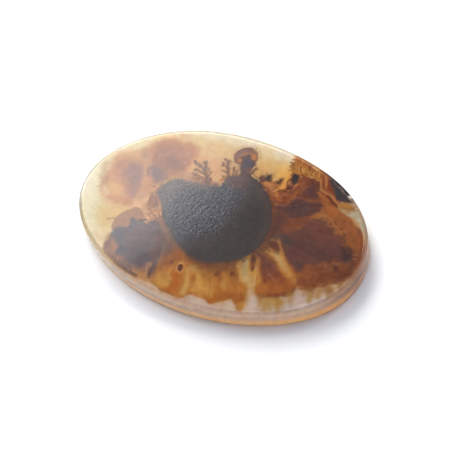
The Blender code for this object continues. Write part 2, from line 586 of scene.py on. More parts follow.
stain((122, 74, 56), [(-14.2, 7.4), (-12.4, 8), (-10.6, 7.1), (-10.6, 6), (-12.4, 5.6), (-13.6, 5.6)], 1.3,
    0.5, 0.8, size=0.9)
stain((158, 98, 66), [(-12.8, 9.6), (-11, 10.4), (-10, 9), (-10.8, 8.2), (-12.2, 8.6)], 1, 0.4, 0.55)
stain((98, 76, 75), [(-16.2, 5), (-14.8, 4.8), (-13.6, 4.9), (-12.4, 4.3), (-12.2, 3.2), (-13, 2.2),
    (-14.2, 2.4), (-15.7, 3.5)], 1.3, 0.5, 0.7, size=0.8)
stain((84, 70, 76), [(-15.9, 4.7), (-14.9, 4.6), (-14.4, 3.9), (-14.9, 3.4), (-15.5, 3.9)], 0.9, 0.3, 0.7)
stain((128, 84, 66), [(-18.8, 7.2), (-17.6, 7.8), (-16.8, 7), (-17, 5.8), (-18.2, 5.6)], 1.4, 0.4, 0.6)
print("first cloud painted")

# %% Paint the second cloud
stain((178, 124, 80), [(-22.3, 4.8), (-19, 5.7), (-17, 4.9), (-16, 3.4), (-15.2, 1.6), (-15, -0.5),
    (-15.4, -2.4), (-17, -3.2), (-19, -3.3), (-20.5, -2.6), (-21, -1.8), (-21.9, -1.7), (-22, -0.6),
    (-22.6, -0.5), (-22.9, 0.2), (-22.5, 0.9), (-21.9, 1.8), (-22.5, 3), (-22.8, 4)], 1.1, 0.4)
stain((158, 105, 74), [(-21.4, 3.6), (-19.4, 4.9), (-17.4, 4.8), (-16.3, 3.2), (-15.5, 1.2), (-15.3, -1),
    (-15.8, -2.5), (-17, -1.6), (-18.2, 0.2), (-19.8, 1.2), (-21, 2.2)], 1.6, 0.6, size=1)
stain((132, 92, 80), [(-19.2, 4.2), (-17.4, 4.5), (-16.2, 2.9), (-15.5, 1), (-15.6, -1.6), (-16.6, -0.6),
    (-17.8, 0.8), (-19, 2.2)], 1.4, 0.5, 0.9, size=0.9)
stain((190, 143, 84), [(-20.8, -0.6), (-19, -0.2), (-17.9, -0.9), (-17.6, -1.8), (-18.6, -2.4), (-20, -2)],
    1.2, 0.3, 0.9)
stain((168, 109, 56), [(-19.8, -2.7), (-17.6, -2.3), (-15.6, -2), (-14.8, -2.9), (-16, -3.4),
    (-18.4, -3.4)], 0.8, 0.25, 0.8)
tufts((136, 88, 52), [(-22.3, 1.6), (-22.5, 0.6), (-21.9, -0.3), (-21.7, -1.2), (-20.6, -2), (-19.8, -2.7)],
    -0.75, 0.34, 0.62, 0.6, seed=2, lean=-0.35, soft=0.35)
tufts((204, 172, 134), [(-22.2, 1), (-21.8, 0), (-21.3, -0.9), (-20.4, -1.9)], -0.6, 0.2, 0.7, 0.5, seed=6,
    soft=0.3)
stain((150, 98, 64), [(-22.4, 0.7), (-21.2, 0.6), (-20.6, -0.6), (-20.8, -1.5), (-21.8, -1), (-22.3, 0)],
    0.8, 0.3, 0.5, size=0.5)
stain((168, 113, 70), [(-17, 5.5), (-16.2, 4.6), (-15.2, 2.2), (-14.7, -0.6), (-14, -2.4), (-13, -2.6),
    (-13, -0.4), (-13.4, 1.2), (-14.5, 3), (-15.6, 4.6)], 1.1, 0.3)
stain((190, 144, 96), [(-14.9, -0.4), (-13.2, 0.2), (-12.2, -1), (-12.7, -2.2), (-13.1, -3.2),
    (-14.6, -2.8)], 1)
streak((172, 112, 72), [(-15.8, 3.2), (-15.3, 1.4), (-15, -0.6)], 0.25, 0.4, 0.5)
for at_x, at_y in (
        (-10.9, 7.4), (-11.2, 9.2), (-10.4, 9.7), (-14.6, 7.8), (-13.6, 9.1), (-15.6, 7.2), (-9.9, 8.3)):
    streak((186, 130, 92), [(at_x, at_y), (at_x + 0.3, at_y + 0.35)], 0.16, 0.3, 0.4)
stain((204, 190, 140), [(-21.4, -1.2), (-20.4, -1.4), (-19.4, -2.4), (-20.3, -2.9)], 0.8, 0.2, 0.35)
streak((206, 200, 172), [(-23.6, 4.6), (-24, 2), (-23.9, -0.6), (-23.3, -2.8), (-22.4, -4.8)], 1.4, 1, 0.45)
for light in (
        [(-18.9, 9.4), (-17.6, 10.9), (-15.6, 11.9), (-15.8, 11), (-17.6, 9.7)],
        [(-12.2, 12.7), (-9.9, 12.4), (-9.5, 11.4), (-11.2, 11.3)]):
    stain((222, 200, 130), light, 1, 0.2, 0.22)
stain((176, 124, 84), [(-14.2, 12.6), (-12.8, 12.5), (-12.9, 11.6), (-13.8, 11.6)], 0.8, 0.2, 0.35)
stain((190, 154, 104), [(-23.6, 2.7), (-22.7, 2.6), (-22.4, 1.7), (-23.2, 1.3)], 0.8, 0.2, 0.6)
stain((90, 68, 68), [(-12.6, 4.2), (-11.9, 4.1), (-11.7, 3.4), (-12.4, 3.1)], 0.7, 0.2, 0.5)
streak((84, 66, 70), [(-15.7, 4.4), (-15.4, 3.4)], 0.8, 0.6, 0.5)
print("clouds painted")

# %% [markdown]
# The plume at the lower left
#
# A grey-violet dendrite cloud hangs near the front rim. Under it lies an older lens of mauve stain, and
# it frays into a rusty fringe with dark specks towards the rim, and into one dark spike.

# %% Paint the old stain under the plume
stain((172, 120, 76), [(-13.2, 1), (-12.9, -1), (-13.2, -3), (-12.2, -4.6), (-13.4, -7.6), (-15.2, -8.6),
    (-15.3, -11.8), (-12.5, -13.2), (-8.2, -14.6), (-5, -14.4), (-4.6, -10), (-4.4, -6), (-8, -2),
    (-11.4, 2)], 0.5)
stain((143, 94, 61), [(-16, -7.2), (-16.05, -6), (-15.7, -5), (-15, -4), (-14.2, -3.3), (-13.5, -3.1),
    (-12.6, -3.6), (-12, -4.3), (-12.2, -6), (-12.8, -7.4), (-14, -8), (-15.4, -8.2)], 0.35, 0.1)
streak((122, 73, 36), [(-15.6, -8.2), (-16, -7.2), (-16.05, -6), (-15.7, -5), (-15, -4)], 0.3, 0.2, 0.7,
    thin=0.15)
streak((126, 78, 40), [(-14.4, -3.3), (-13.5, -3.1), (-12.6, -3.6), (-12.1, -4.2)], 0.3, 0.2, 0.7)
streak((150, 104, 48), [(-17.3, -6.75), (-16.6, -6.3), (-16, -6.2)], 0.4, 0.4, 0.75, thin=0.5)
streak((120, 86, 46), [(-17.4, -6.8), (-16.9, -6.6)], 0.2, 0.25, 0.6)
stain((124, 76, 46), [(-15.5, -8.8), (-15.6, -10.2), (-15.3, -11.4), (-15, -12), (-14, -12.6),
    (-12.5, -13.2), (-11, -13.9), (-9.5, -14.3), (-8.2, -14.5), (-7.3, -14.1), (-7.3, -12.6), (-9, -10),
    (-13, -8.6)], 0.6, 0.3)
stain((97, 50, 32), [(-15.5, -8.8), (-15.55, -10), (-15.2, -11.6), (-14.6, -12), (-14.4, -11), (-14.7, -10),
    (-14.8, -9)], 0.5, 0.2, 0.75)
stain((140, 88, 60), [(-14.2, -9.9), (-13.4, -10.3), (-12.9, -11.2), (-13.3, -11.6), (-14.1, -10.9)], 0.5,
    0.2, 0.8)
stain((158, 108, 42), [(-8.6, -13.3), (-7.2, -12.8), (-6, -13), (-5.5, -14), (-6.6, -14.7), (-8.2, -14.5)],
    0.6, 0.25, 0.9)
print("old stain painted")

# %% Lay the violet plume
PLUME = [
    (-13.5, -4.9), (-13, -5.2), (-12.3, -5.1), (-11.6, -4.7), (-11.3, -5.1), (-10.8, -5.2), (-10.4, -4.7),
    (-10, -4.2), (-9.2, -4.1), (-8.6, -4.6), (-7.9, -5.2), (-7.2, -5.9), (-6.4, -6.7), (-5.6, -7.4),
    (-5.1, -8.2), (-5.1, -9.2), (-5.5, -10), (-6.1, -10.6), (-6.6, -11.4), (-7.1, -12.2), (-7.7, -12.9),
    (-8.6, -12.9), (-9.2, -12.5), (-9.8, -12.9), (-10.3, -12.6), (-10.8, -12.2), (-11.4, -12), (-12, -11.9),
    (-12.5, -12.2), (-12.8, -11.6), (-12.9, -10.7), (-13.8, -10), (-14.7, -9.4), (-15.3, -8.7), (-15.2, -8),
    (-14.8, -7.4), (-14, -7.1), (-13.4, -7), (-13.3, -6.2), (-13.6, -5.6)]
stain((96, 64, 58), PLUME, 1.2, 0.25, 0.8, size=0.45)
stain((79, 58, 62), PLUME, 0.45, 0.25, size=0.4)
stain((56, 50, 66), [(-15, -8.4), (-14.2, -7.6), (-13.2, -7.6), (-13.4, -8.6), (-12.6, -10), (-11.4, -10.8),
    (-11.8, -11.8), (-12.6, -11.8), (-13, -10.4), (-14.2, -9.4)], 0.9, 0.3, 0.85)
stain((62, 60, 72), [(-13.4, -5.3), (-12.6, -5.3), (-12.3, -6.4), (-12.8, -7), (-13.3, -6.4)], 0.6, 0.2,
    0.85)
stain((89, 62, 68), [(-12, -6), (-10.4, -5.6), (-9, -6.4), (-9.4, -7.6), (-11.4, -8.8), (-12.6, -8.4)], 1.4,
    0.5, 0.75)
stain((98, 64, 54), [(-8, -6.4), (-6.4, -7.2), (-5.5, -8.4), (-6.2, -9.8), (-7.4, -10.2), (-8.2, -8.4)],
    1.2, 0.5, 0.7)
stain((60, 46, 50), [(-10.6, -9.8), (-7.6, -10.4), (-7.8, -12.4), (-9.6, -12.4), (-11, -11.2)], 1.2, 0.3,
    0.7)
fibres(PLUME, 0.7, 0.22, 21, spokes=(-5.0, -6.0, 6.0))
stain((104, 84, 86), [(-12.4, -5.4), (-10.6, -4.8), (-8.8, -5.2), (-9.4, -6.2), (-11.6, -6.6)], 1, 0.4, 0.6,
    size=0.5, patchy=0.4)
specks((122, 98, 96), [(-13, -5.2), (-10, -4.4), (-7.4, -5.8), (-8.4, -8), (-12, -8)], 26, 0.16, 0.4,
    seed=7)
tufts((72, 50, 50), [(-8.2, -5.1), (-9.2, -4.2), (-10, -4.2), (-10.6, -4.8)], 0.45, 0.28, 0.35, 0.8, seed=3)
tufts((74, 52, 50), [(-5.5, -8.6), (-5.7, -7.5), (-6.6, -6.6), (-7.9, -5.3)], -0.4, 0.26, 0.4, 0.6, seed=5)
streak((70, 46, 44), [(-12.3, -5.1), (-11.8, -4.7), (-11.3, -4.55)], 0.3, 0.25, 0.85)
print("violet plume painted")

# %% Fray its lower edge
stain((102, 60, 40), [(-6.7, -10.2), (-6.3, -11.5), (-6.3, -12.8), (-5.8, -13.6), (-5.4, -14), (-5, -13.4),
    (-4.9, -12), (-4.9, -10.5), (-4.9, -9), (-5.6, -8.6)], 0.45, 0.15)
stain((80, 42, 28), [(-6.1, -12.4), (-5.7, -13.4), (-5.4, -13.9), (-5.2, -13), (-5.4, -12)], 0.4, 0.2, 0.8)
stain((132, 84, 50), [(-7.1, -12.2), (-6.6, -11.4), (-6.3, -12), (-6.2, -13.2), (-7.4, -13.2)], 0.6, 0.2,
    0.8)
streak((184, 132, 92), [(-7.05, -11.6), (-6.65, -12.5), (-6.25, -13.3)], 0.16, 0.2, 0.7, thin=0.1)
tufts((74, 36, 20), [(-7.8, -14.45), (-9.4, -14.15), (-11, -13.6), (-12.6, -13), (-14.2, -12.3)], -0.3,
    0.26, 0.3, 0.75, seed=8, soft=0.22)
streak((104, 58, 30), [(-15.2, -11.9), (-13.4, -12.8), (-11, -13.75), (-9, -14.3), (-7.4, -14.6)], 0.22,
    0.25, 0.7)
for clot, size in (
        ((-10.6, -13.3), 0.6), ((-9.9, -13.75), 0.45), ((-8.3, -14.15), 0.5), ((-8.9, -13.8), 0.35),
        ((-7.7, -14.2), 0.4), ((-11.6, -12.9), 0.35), ((-12.4, -12.5), 0.3), ((-10.9, -12.7), 0.35),
        ((-9.6, -13.2), 0.3)):
    streak((62, 34, 22), [clot, (clot[0] + 0.2, clot[1] - 0.1)], size, 0.3, 0.75)
specks((164, 116, 70), [(-14, -12), (-12, -12.4), (-10, -13), (-8, -13.2), (-8, -14), (-11, -13.5),
    (-14, -12.4)], 14, 0.2, 0.55, seed=9)
stain((84, 64, 64), [(-6.2, -8.4), (-5.2, -8.6), (-5.1, -10.5), (-4.9, -12.6), (-5.7, -13), (-6.3, -10.5)],
    0.8, 0.3, 0.8)
stain((92, 82, 82), [(-8.7, -7.6), (-7.6, -7.4), (-7.3, -9.2), (-8.3, -9.8)], 1.2, 0.2, 0.5)
streak((190, 150, 90), [(-15.7, -8.9), (-15.5, -10.2)], 0.5, 0.6, 0.5)
print("lower left plume painted")

# %% [markdown]
# The amber curtains
#
# Below the big blot, amber stain hangs to the front like pleated curtains. The pleats lean more the
# further right they hang, so their pattern is noise read along a slanted coordinate: across the pleats
# it changes every half millimetre, along them only slowly.

# %% Hang the amber curtains
CURTAIN = [
    (-5.8, -6.6), (-5.6, -9), (-5.1, -11.6), (-5, -14.3), (-4, -14.7), (-3.2, -15), (-2.2, -15.25),
    (-1, -15.3), (0.4, -15.3), (1.4, -15.1), (1.6, -14.7), (2.1, -14.3), (3, -14), (3.9, -14.1),
    (4.7, -14.1), (5.3, -14.2), (5.8, -14.35), (6.4, -14.1), (7, -13.8), (7.6, -13.4), (8.1, -12.9),
    (8.7, -12.6), (9.3, -12.9), (9.8, -13.3), (10.6, -13.8), (11.1, -13.5), (10.9, -12.4), (10.6, -11.3),
    (10.3, -10.2), (9.8, -9.4), (9, -9.1), (8.2, -8.6), (7.7, -7.9), (7.3, -7.1), (6.6, -6.6), (6.4, -5),
    (4, -5), (0, -6), (-4, -5)]
stain((176, 128, 62), CURTAIN, 0.8, 0.35)
stain((160, 99, 40), CURTAIN, 0.9, 0.3, 0.9, size=0.8, seed=3)
hung = nearby(CURTAIN, 1.0)
x, y = spots[hung].T
lean = np.clip(0.1 + (x + 2.5) * 0.12, 0.1, 0.65)
pleat = x + lean * (y + 11)
depth = smooth(depth_inside(spots[hung], CURTAIN) / 0.8 + 0.3) * (1 - underside[hung])
fold = noise(pleat / 1.0, y / 9, 5)
blend(coat, hung, (178, 130, 62), 0.8 * depth * smooth((fold - 0.06) / 0.5) * smooth((-8.6 - y) / 1.5))
blend(coat, hung, (148, 84, 32), 0.7 * depth * smooth((-fold - 0.12) / 0.5))
blend(coat, hung, (172, 114, 50), 0.4 * depth * smooth(noise(pleat / 0.35, y / 5, 15) / 0.5))
blend(coat, hung, (128, 80, 44), 0.8 * depth * smooth((y + 10.2 + 0.5 * np.sin(x)) / 2.6))
coat[hung] *= (1 + 0.16 * depth * noise(pleat / 0.4, y / 2.2, 17))[:, None]
print("curtain points", len(hung))

# %% Touch up the curtains
stain((137, 80, 38), [(-5.6, -6.4), (-3.2, -7.2), (-2.4, -8.4), (-2.8, -9.8), (-3.8, -11), (-4.8, -11.8),
    (-5.4, -9.6)], 1.4, 0.5)
stain((184, 134, 58), [(-4.6, -12.6), (-3.6, -12), (-2.7, -12.2), (-2.2, -13), (-2.2, -14.4), (-3.4, -14.7),
    (-4.7, -14)], 1, 0.4, 0.85, patchy=0.2)
stain((162, 90, 30), [(-2.2, -11.4), (-1.1, -11.2), (-0.6, -12.6), (-0.1, -14.8), (-1.7, -14.9),
    (-2.3, -13)], 0.9, 0.3, 0.9)
stain((172, 132, 74), [(-0.6, -9.4), (0.6, -9.1), (1.2, -10), (0.6, -10.6), (-0.1, -10.2)], 0.9, 0.2, 0.8)
streak((186, 144, 76), [(-0.5, -10.2), (0.2, -11.5), (0.8, -12.8), (1, -14.3)], 0.4, 0.8, 0.85, thin=1)
stain((190, 142, 68), [(1.2, -9.6), (2.2, -9.9), (3.2, -11.2), (4.2, -12.4), (4.9, -13.5), (3.8, -13.5),
    (2.4, -13.7), (1.6, -12.8), (1.7, -11.4)], 1, 0.4, 0.8, patchy=0.25)
streak((188, 142, 74), [(3.2, -10.2), (4, -11.6), (4.7, -13)], 0.3, 0.6, 0.6, thin=0.5)
stain((176, 126, 60), [(5, -8.6), (5.6, -8.8), (7.2, -10.8), (6.8, -11.6), (5.8, -10.6)], 1, 0.3, 0.7,
    size=0.5)
streak((152, 94, 50), [(1.2, -11.6), (1.6, -12.4), (1.8, -12.9)], 0.3, 0.3, 0.5)
stain((152, 84, 26), [(5.1, -13), (5.9, -12.6), (6.5, -13.6), (5.9, -14.3), (5.3, -14.1)], 0.8, 0.2, 0.85)
streak((182, 138, 64), [(4.2, -10.4), (4.9, -11.8), (5.4, -13.2)], 0.4, 0.6, 0.6, thin=0.6)
stain((142, 78, 34), [(6.6, -12), (7.8, -11.4), (9.6, -11), (10.4, -11.8), (9.8, -12.8), (8.6, -12.1),
    (7.4, -13), (6.4, -13.6)], 0.9, 0.3, 0.75)
for line in (
        [(1.7, -14.2), (2.2, -13.8), (3.2, -13.6)], [(6.2, -14.2), (6.9, -13.4), (7.7, -12.8)],
        [(8.2, -12.2), (8.9, -12.3), (9.6, -12.9)], [(5.3, -14.15), (5.9, -14.25)],
        [(10.2, -13.5), (10.8, -13.2)]):
    streak((124, 72, 28), line, 0.25, 0.35, 0.55)
streak((128, 74, 34), [(-2.9, -15.1), (-1.6, -15.1), (-0.2, -15.25)], 0.25, 0.3, 0.8)
streak((142, 98, 30), [(-4.9, -14.25), (-4, -14.55), (-3.2, -14.8)], 0.3, 0.3, 0.6)
specks((128, 78, 34), [(-4.8, -11.6), (-3.2, -11.2), (-2.4, -12.6), (-2.6, -14.6), (-4.6, -14.2)], 14, 0.2,
    0.45, seed=12)
for at, size in (((4.35, -9.15), 0.75), ((6.55, -8.2), 0.7), ((-3.4, -9.9), 0.5)):
    streak((96, 50, 30), [at, (at[0] + 0.05, at[1] - 0.15)], size, 0.6, 0.8)
stain((188, 136, 84), [(-2.3, -9.6), (-1.7, -9.35), (-1.05, -9.9), (-0.85, -10.7), (-1.2, -11.3),
    (-1.9, -11.2), (-2.35, -10.5)], 0.35, 0.08, 0.6)
stain((84, 42, 20), [(-2.15, -10), (-1.75, -9.75), (-1.35, -10), (-1.15, -10.6), (-1.35, -11.05),
    (-1.8, -10.9), (-2.1, -10.5)], 0.25, 0.05)
streak((122, 70, 44), [(-1.65, -10.3), (-1.5, -10.6)], 0.25, 0.25, 0.7)
streak((196, 156, 80), [(-2.2, -12.9), (-2, -13.9)], 0.7, 0.6, 0.5)
streak((150, 82, 38), [(-1.7, -11.4), (-1.1, -12.6), (-0.7, -13.7)], 0.5, 0.5, 0.4)
streak((146, 88, 48), [(4.7, -8.6), (5.2, -9.9)], 0.8, 0.7, 0.5)
streak((126, 78, 44), [(1.4, -9.6), (2.4, -10.2)], 0.8, 0.7, 0.5)
print("curtains touched up")

# %% [markdown]
# The rust field at the right
#
# Rust fills the right end. Its outer edge is a dark line a little inside the rim, and it feathers away
# from the blot in fine spokes, so its noise is stretched along lines from the blot's middle.

# %% Paint the rust field
HUB = (0.0, 0.0, 16.0)   # the blot's middle, and the distance at which the spokes have their true width
RUST = [
    (5, 6), (6.5, 8.8), (8.4, 11.4), (12, 12.6), (13.6, 11.6), (14.9, 10.9), (16.4, 9), (18, 8.1),
    (19.6, 7.7), (21, 6.9), (22.2, 6), (23.2, 4.6), (23.9, 3), (24.25, 1.2), (24.2, -0.8), (24, -2.4),
    (23.2, -3.5), (22.2, -4.1), (21.7, -4.7), (21, -5.2), (20, -5.5), (19.5, -6.2), (18.4, -6.8),
    (17.2, -7), (16.9, -7.8), (15.4, -8.8), (14.9, -9.6), (12.4, -10.4), (11.2, -9.2), (10.4, -7),
    (8.4, -4), (7, -5), (5, -2), (5, 3)]
stain((160, 104, 50), RUST, 0.7, size=0.6)
stain((146, 86, 44), RUST, 0.4, 0.2, 0.85, size=0.5)
stain((130, 76, 45), [(17, 7.4), (20, 6.8), (22.4, 4.9), (23.6, 2.6), (24, 0), (23, 0), (21, 2), (19, 4.6),
    (16, 6)], 1.6, 0.5, 0.7)
stain((110, 64, 40), [(24, 2.6), (24.1, -0.8), (23.5, -2.6), (22.6, -3.2), (21, -3.4), (19, -3.6),
    (17.4, -3.6), (17, -2), (18.6, -1.4), (20, -0.4), (21.8, 0.6), (22.8, 1.8), (23.4, 3)], 2, 0.6,
    size=0.9, patchy=0.25)
stain((120, 68, 42), [(15.6, -4), (18, -4.4), (20, -4), (21, -2.6), (18.4, -2), (16, -2.8)], 1.6, 0.6, 0.7,
    size=0.6, spokes=HUB)
streak((108, 62, 38), [(20.6, 7), (22.3, 5.4), (23.5, 3.2), (24, 0.6), (23.9, -1.2), (23.3, -2.7)], 0.45,
    0.5, 0.6)
stain((104, 58, 38), [(23.6, -1.8), (22.6, -3.2), (21.4, -4.2), (20.2, -5.1), (18.4, -6.2), (16.9, -6.5),
    (16, -5), (17.4, -4.4), (19.4, -3.6), (21.4, -2.4), (22.6, -1.2)], 1.2, 0.5, 0.75)
streak((104, 58, 37), [(22.9, -3.2), (22, -3.9), (21.5, -4.6), (20.4, -5.2), (19.6, -5.9), (18.4, -6.6),
    (17.2, -6.8)], 0.5, 0.5, 0.6)
stain((110, 66, 48), [(6, 6.2), (8, 6.8), (12, 5.4), (14, 5.6), (13.6, 4), (12, 2.4), (10.6, 0.9),
    (9.8, -0.2), (8, -1.2), (6.5, 3)], 1.3, 0.5, size=0.6, patchy=0.3, spokes=HUB)
stain((92, 62, 53), [(7.6, 4.4), (9, 4.4), (10.8, 3.8), (10.4, 2.4), (9.6, 1), (8.8, -0.6), (7.8, -0.6)],
    1.3, 0.5, 0.75, size=0.6, spokes=HUB)
stain((116, 66, 44), [(10, 3.4), (11.8, 4.6), (13, 4.4), (12, 2.6), (10.8, 1.4), (9.9, 1.6)], 1.2, 0.5,
    0.65, spokes=HUB)
stain((118, 70, 46), [(12.6, 5.2), (13.6, 6), (14.4, 7.2), (14.6, 8.2), (15.2, 7.4), (14.8, 6.2),
    (13.6, 5)], 1, 0.3, 0.7)
stain((94, 60, 46), [(5.8, 6.4), (7, 6.9), (8.6, 6.8), (8.6, 5.8), (7, 5.4), (6.2, 5.6)], 0.8, 0.3, 0.75)
fibres(RUST, 0.6, 0.16, 25)
fibres(RUST, 1.8, 0.12, 26)
streak((84, 50, 38), [(23.4, 0.2), (23.4, -1.6), (22.6, -3.4)], 0.9, 0.7, 0.6)
print("rust field painted")

# %% [markdown]
# The brown masses
#
# Three plum-brown plumes are rooted in the rust: a big one across the right end and two over each other
# nearer the top. Where they are thickest they turn grey; their edges carry tan and amber spots.

# %% Outline the brown masses
MASS_RIGHT = [
    (10.2, 0.5), (11, 1.6), (12, 2.4), (12.8, 3.2), (13.2, 4.2), (14, 5.2), (14.8, 5.8), (15.6, 6),
    (16.3, 5.7), (16.6, 5.2), (17.4, 5.2), (18.1, 4.7), (18.3, 4.2), (19, 4.3), (19.6, 4.2), (20, 3.5),
    (20.6, 2.8), (21.4, 2.6), (22, 2.8), (22.6, 1.9), (22.9, 0.9), (22.6, 0.2), (21.8, 0), (21, -0.1),
    (20.4, -0.3), (20, -0.9), (19, -1), (18.3, -1.7), (17, -2.4), (16.4, -2.9), (16.4, -3.7), (15.9, -4.1),
    (15.2, -3.7), (14.2, -3.2), (13.1, -2.7), (12.1, -1.9), (11.4, -1), (10.7, -0.1)]
MASS_TOP = [
    (8.7, 12.3), (9.4, 12.5), (10.2, 12.4), (10.9, 12.5), (11.6, 12.2), (12, 11.5), (12.3, 10.7),
    (12.1, 10), (12.8, 9.4), (12.9, 8.9), (12.2, 8.7), (11.3, 8.5), (10.2, 8.3), (9, 8.1), (8.5, 8.8),
    (8.4, 10.2), (8.2, 11.4)]
MASS_MIDDLE = [
    (8.6, 7.6), (10, 8.2), (11.5, 8.1), (12.8, 8.6), (13.5, 8.8), (14, 8.2), (14, 7.3), (13.7, 6.6),
    (13, 5.8), (12, 5.2), (10.8, 4.5), (9.5, 4.7), (8, 4.9), (7, 5.3), (7.6, 5.9), (8.6, 6.4)]
print("three masses outlined")

# %% Fill the right mass
stain((118, 68, 46), MASS_RIGHT, 1.8, 0.5, 0.8, size=0.6)
stain((97, 62, 52), MASS_RIGHT, 0.9, 0.4, size=0.5)
stain((108, 65, 51), [(13.4, 4.6), (15, 5.8), (16.6, 5), (18, 4.4), (19.6, 3.9), (18.4, 2.8), (16.4, 2.6),
    (14.4, 3.2)], 1.6, 0.5, 0.75, size=0.8, patchy=0.3)
stain((84, 58, 51), [(11.2, 0.4), (13, 1.6), (16, 1.2), (19, 0.6), (18.6, -0.8), (15.6, -0.8), (13, -1)],
    2.2, 0.6, 0.75, size=1, patchy=0.3)
stain((74, 60, 54), [(10.2, 0.9), (11, 1.2), (12.2, 1), (12.8, 0.2), (12.2, -0.5), (11, -0.1)], 1.2, 0.3,
    0.8)
stain((80, 62, 56), [(14.6, -2.2), (15.6, -2.4), (16.4, -3), (15.9, -3.7), (15.1, -3.3)], 1, 0.3, 0.6)
stain((76, 53, 45), [(20.3, 2.5), (21.2, 2.4), (22, 2.7), (22.6, 1.9), (22.85, 0.9), (22.3, 0.2),
    (21.4, 0.3), (20.9, 1.2)], 1.2, 0.4, 0.85, size=0.5)
stain((64, 46, 40), [(21.3, 1.8), (22.3, 1.6), (22.5, 0.9), (21.9, 0.5), (21.3, 0.9)], 0.9, 0.3, 0.7)
fibres(MASS_RIGHT, 0.5, 0.16, 31, spokes=HUB)
print("right mass filled")

# %% Fill the two upper masses
stain((120, 68, 42), MASS_TOP, 0.7, 0.3, size=0.4)
stain((104, 61, 42), MASS_TOP, 0.4, 0.3, 0.8, size=0.4, seed=23)
stain((90, 58, 50), [(10.2, 10.6), (11, 11.3), (11.9, 11.2), (12, 10.2), (12.5, 9.4), (11.6, 9),
    (10.2, 9.2)], 0.9, 0.4, 0.85)
stain((132, 76, 48), [(8.5, 9), (9.4, 8.8), (9.9, 10), (9.4, 11.2), (8.6, 10.8)], 0.7, 0.4, 0.75)
tufts((112, 54, 34), [(8.3, 12), (9.4, 12.3), (10.4, 12.3), (11.3, 12.2), (12.1, 11.4)], 0.25, 0.24, 0.32,
    0.8, seed=14)
tufts((84, 48, 40), [(12.2, 11.2), (12.4, 10.4), (12.7, 9.6), (13.1, 9)], 0.3, 0.3, 0.34, 0.8, seed=15)
for line in (
        [(8.9, 9.2), (9.3, 10.2), (9.2, 11.2)], [(9.9, 8.9), (9.8, 9.9), (10.1, 10.8)],
        [(8.5, 8.6), (8.7, 9.6)]):
    streak((158, 98, 62), line, 0.18, 0.3, 0.5, thin=0.25)
stain((104, 64, 50), MASS_MIDDLE, 1.2, 0.4, 0.8, size=0.5, spokes=HUB)
stain((90, 60, 51), MASS_MIDDLE, 0.7, 0.4, size=0.45, spokes=HUB)
stain((80, 58, 54), [(9.4, 7.2), (11, 7.4), (12, 6.6), (11.2, 5.4), (9.4, 5.2), (9, 6.2)], 1.4, 0.4, 0.8)
stain((95, 55, 42), [(12.8, 8.2), (13.6, 8.5), (13.9, 8), (13.3, 7.6)], 0.5, 0.2, 0.7)
tufts((86, 54, 46), [(13.6, 8.9), (14.1, 8.1), (13.9, 7.1), (13.3, 6.1), (12.3, 5.3)], 0.35, 0.26, 0.36,
    0.6, seed=16)
fibres(MASS_MIDDLE, 0.45, 0.2, 33, spokes=HUB)
fibres(MASS_TOP, 0.4, 0.2, 35, spokes=(10.5, 6.0, 5.0))
stain((132, 74, 46), [(8.8, 11.9), (9.6, 12.1), (9.8, 11), (9.2, 10.8)], 0.7, 0.3, 0.5, size=0.4)
stain((152, 96, 60), [(14.2, 6.4), (15.4, 6.6), (16.4, 6.1), (17.6, 5.7), (17, 5.4), (15.4, 5.9)], 0.7,
    0.35, 0.55, size=0.4)
streak((126, 76, 53), [(8.2, 7.5), (9, 7.7), (9.6, 8.2), (10.4, 8.5)], 0.25, 0.4, 0.7)
streak((120, 70, 50), [(10.8, 8.3), (11.8, 8.55), (12.8, 8.75)], 0.25, 0.3, 0.7)
for offset, shade in (
        (-0.4, (84, 58, 52)), (0.0, (118, 70, 52)), (0.4, (84, 54, 46)), (0.8, (132, 78, 50)),
        (1.2, (88, 56, 48)), (1.6, (128, 76, 48))):
    streak(shade, [(6.4, 5.6 + offset), (7.8, 5.9 + offset), (9.4, 6.4 + offset)], 0.25, 0.35, 0.6,
        thin=0.15)
print("brown masses painted")

# %% Spot the edges of the masses
for color, spot, size in (
        ((154, 98, 54), (14.2, 6.2), 1.0), ((160, 106, 62), (14.9, 6.6), 0.9),
        ((150, 94, 52), (15.7, 6.5), 0.7), ((150, 97, 55), (16.6, 5.7), 0.7),
        ((156, 100, 52), (17.6, 5.7), 0.7), ((162, 106, 58), (18.3, 4.6), 0.6),
        ((166, 110, 60), (19.1, 4.9), 0.7), ((146, 90, 52), (20.4, 3.1), 0.35),
        ((134, 84, 56), (20.8, -0.35), 0.7), ((128, 78, 52), (20.3, -0.1), 0.5),
        ((122, 74, 50), (19.2, -1.6), 0.8), ((116, 72, 50), (20.1, -1.9), 0.7),
        ((126, 76, 48), (16.9, -2.6), 0.5)):
    streak(color, [spot, (spot[0] + 0.25, spot[1] + 0.1)], size, 0.7, 0.7)
EDGE_RIGHT = [
    (14.6, 6.1), (15.8, 6.2), (16.6, 5.6), (17.6, 5.4), (18.5, 4.6), (19.6, 4.5), (20.2, 3.7), (21, 3),
    (22, 3), (22.8, 1.9), (23.1, 0.8)]
tufts((84, 50, 38), EDGE_RIGHT, 0.35, 0.24, 0.36, 0.8, seed=17)
tufts((168, 112, 62), EDGE_RIGHT, 0.6, 0.2, 0.55, 0.5, seed=18)
for spot in (
        (16.85, 5.75), (17.65, 5.95), (17.3, 6.3), (19.7, 4.6), (19.9, 4.15), (20.2, 3.7), (20.4, 3.3),
        (21, 3), (21.5, 2.7), (15.9, 3.9), (13.1, 9.3), (12.4, 9.7), (10.6, 11.7), (8.9, 12.1), (18.9, 5.4),
        (19.4, 5)):
    streak((78, 46, 34), [spot, (spot[0] + 0.12, spot[1] - 0.1)], 0.28, 0.3, 0.7)
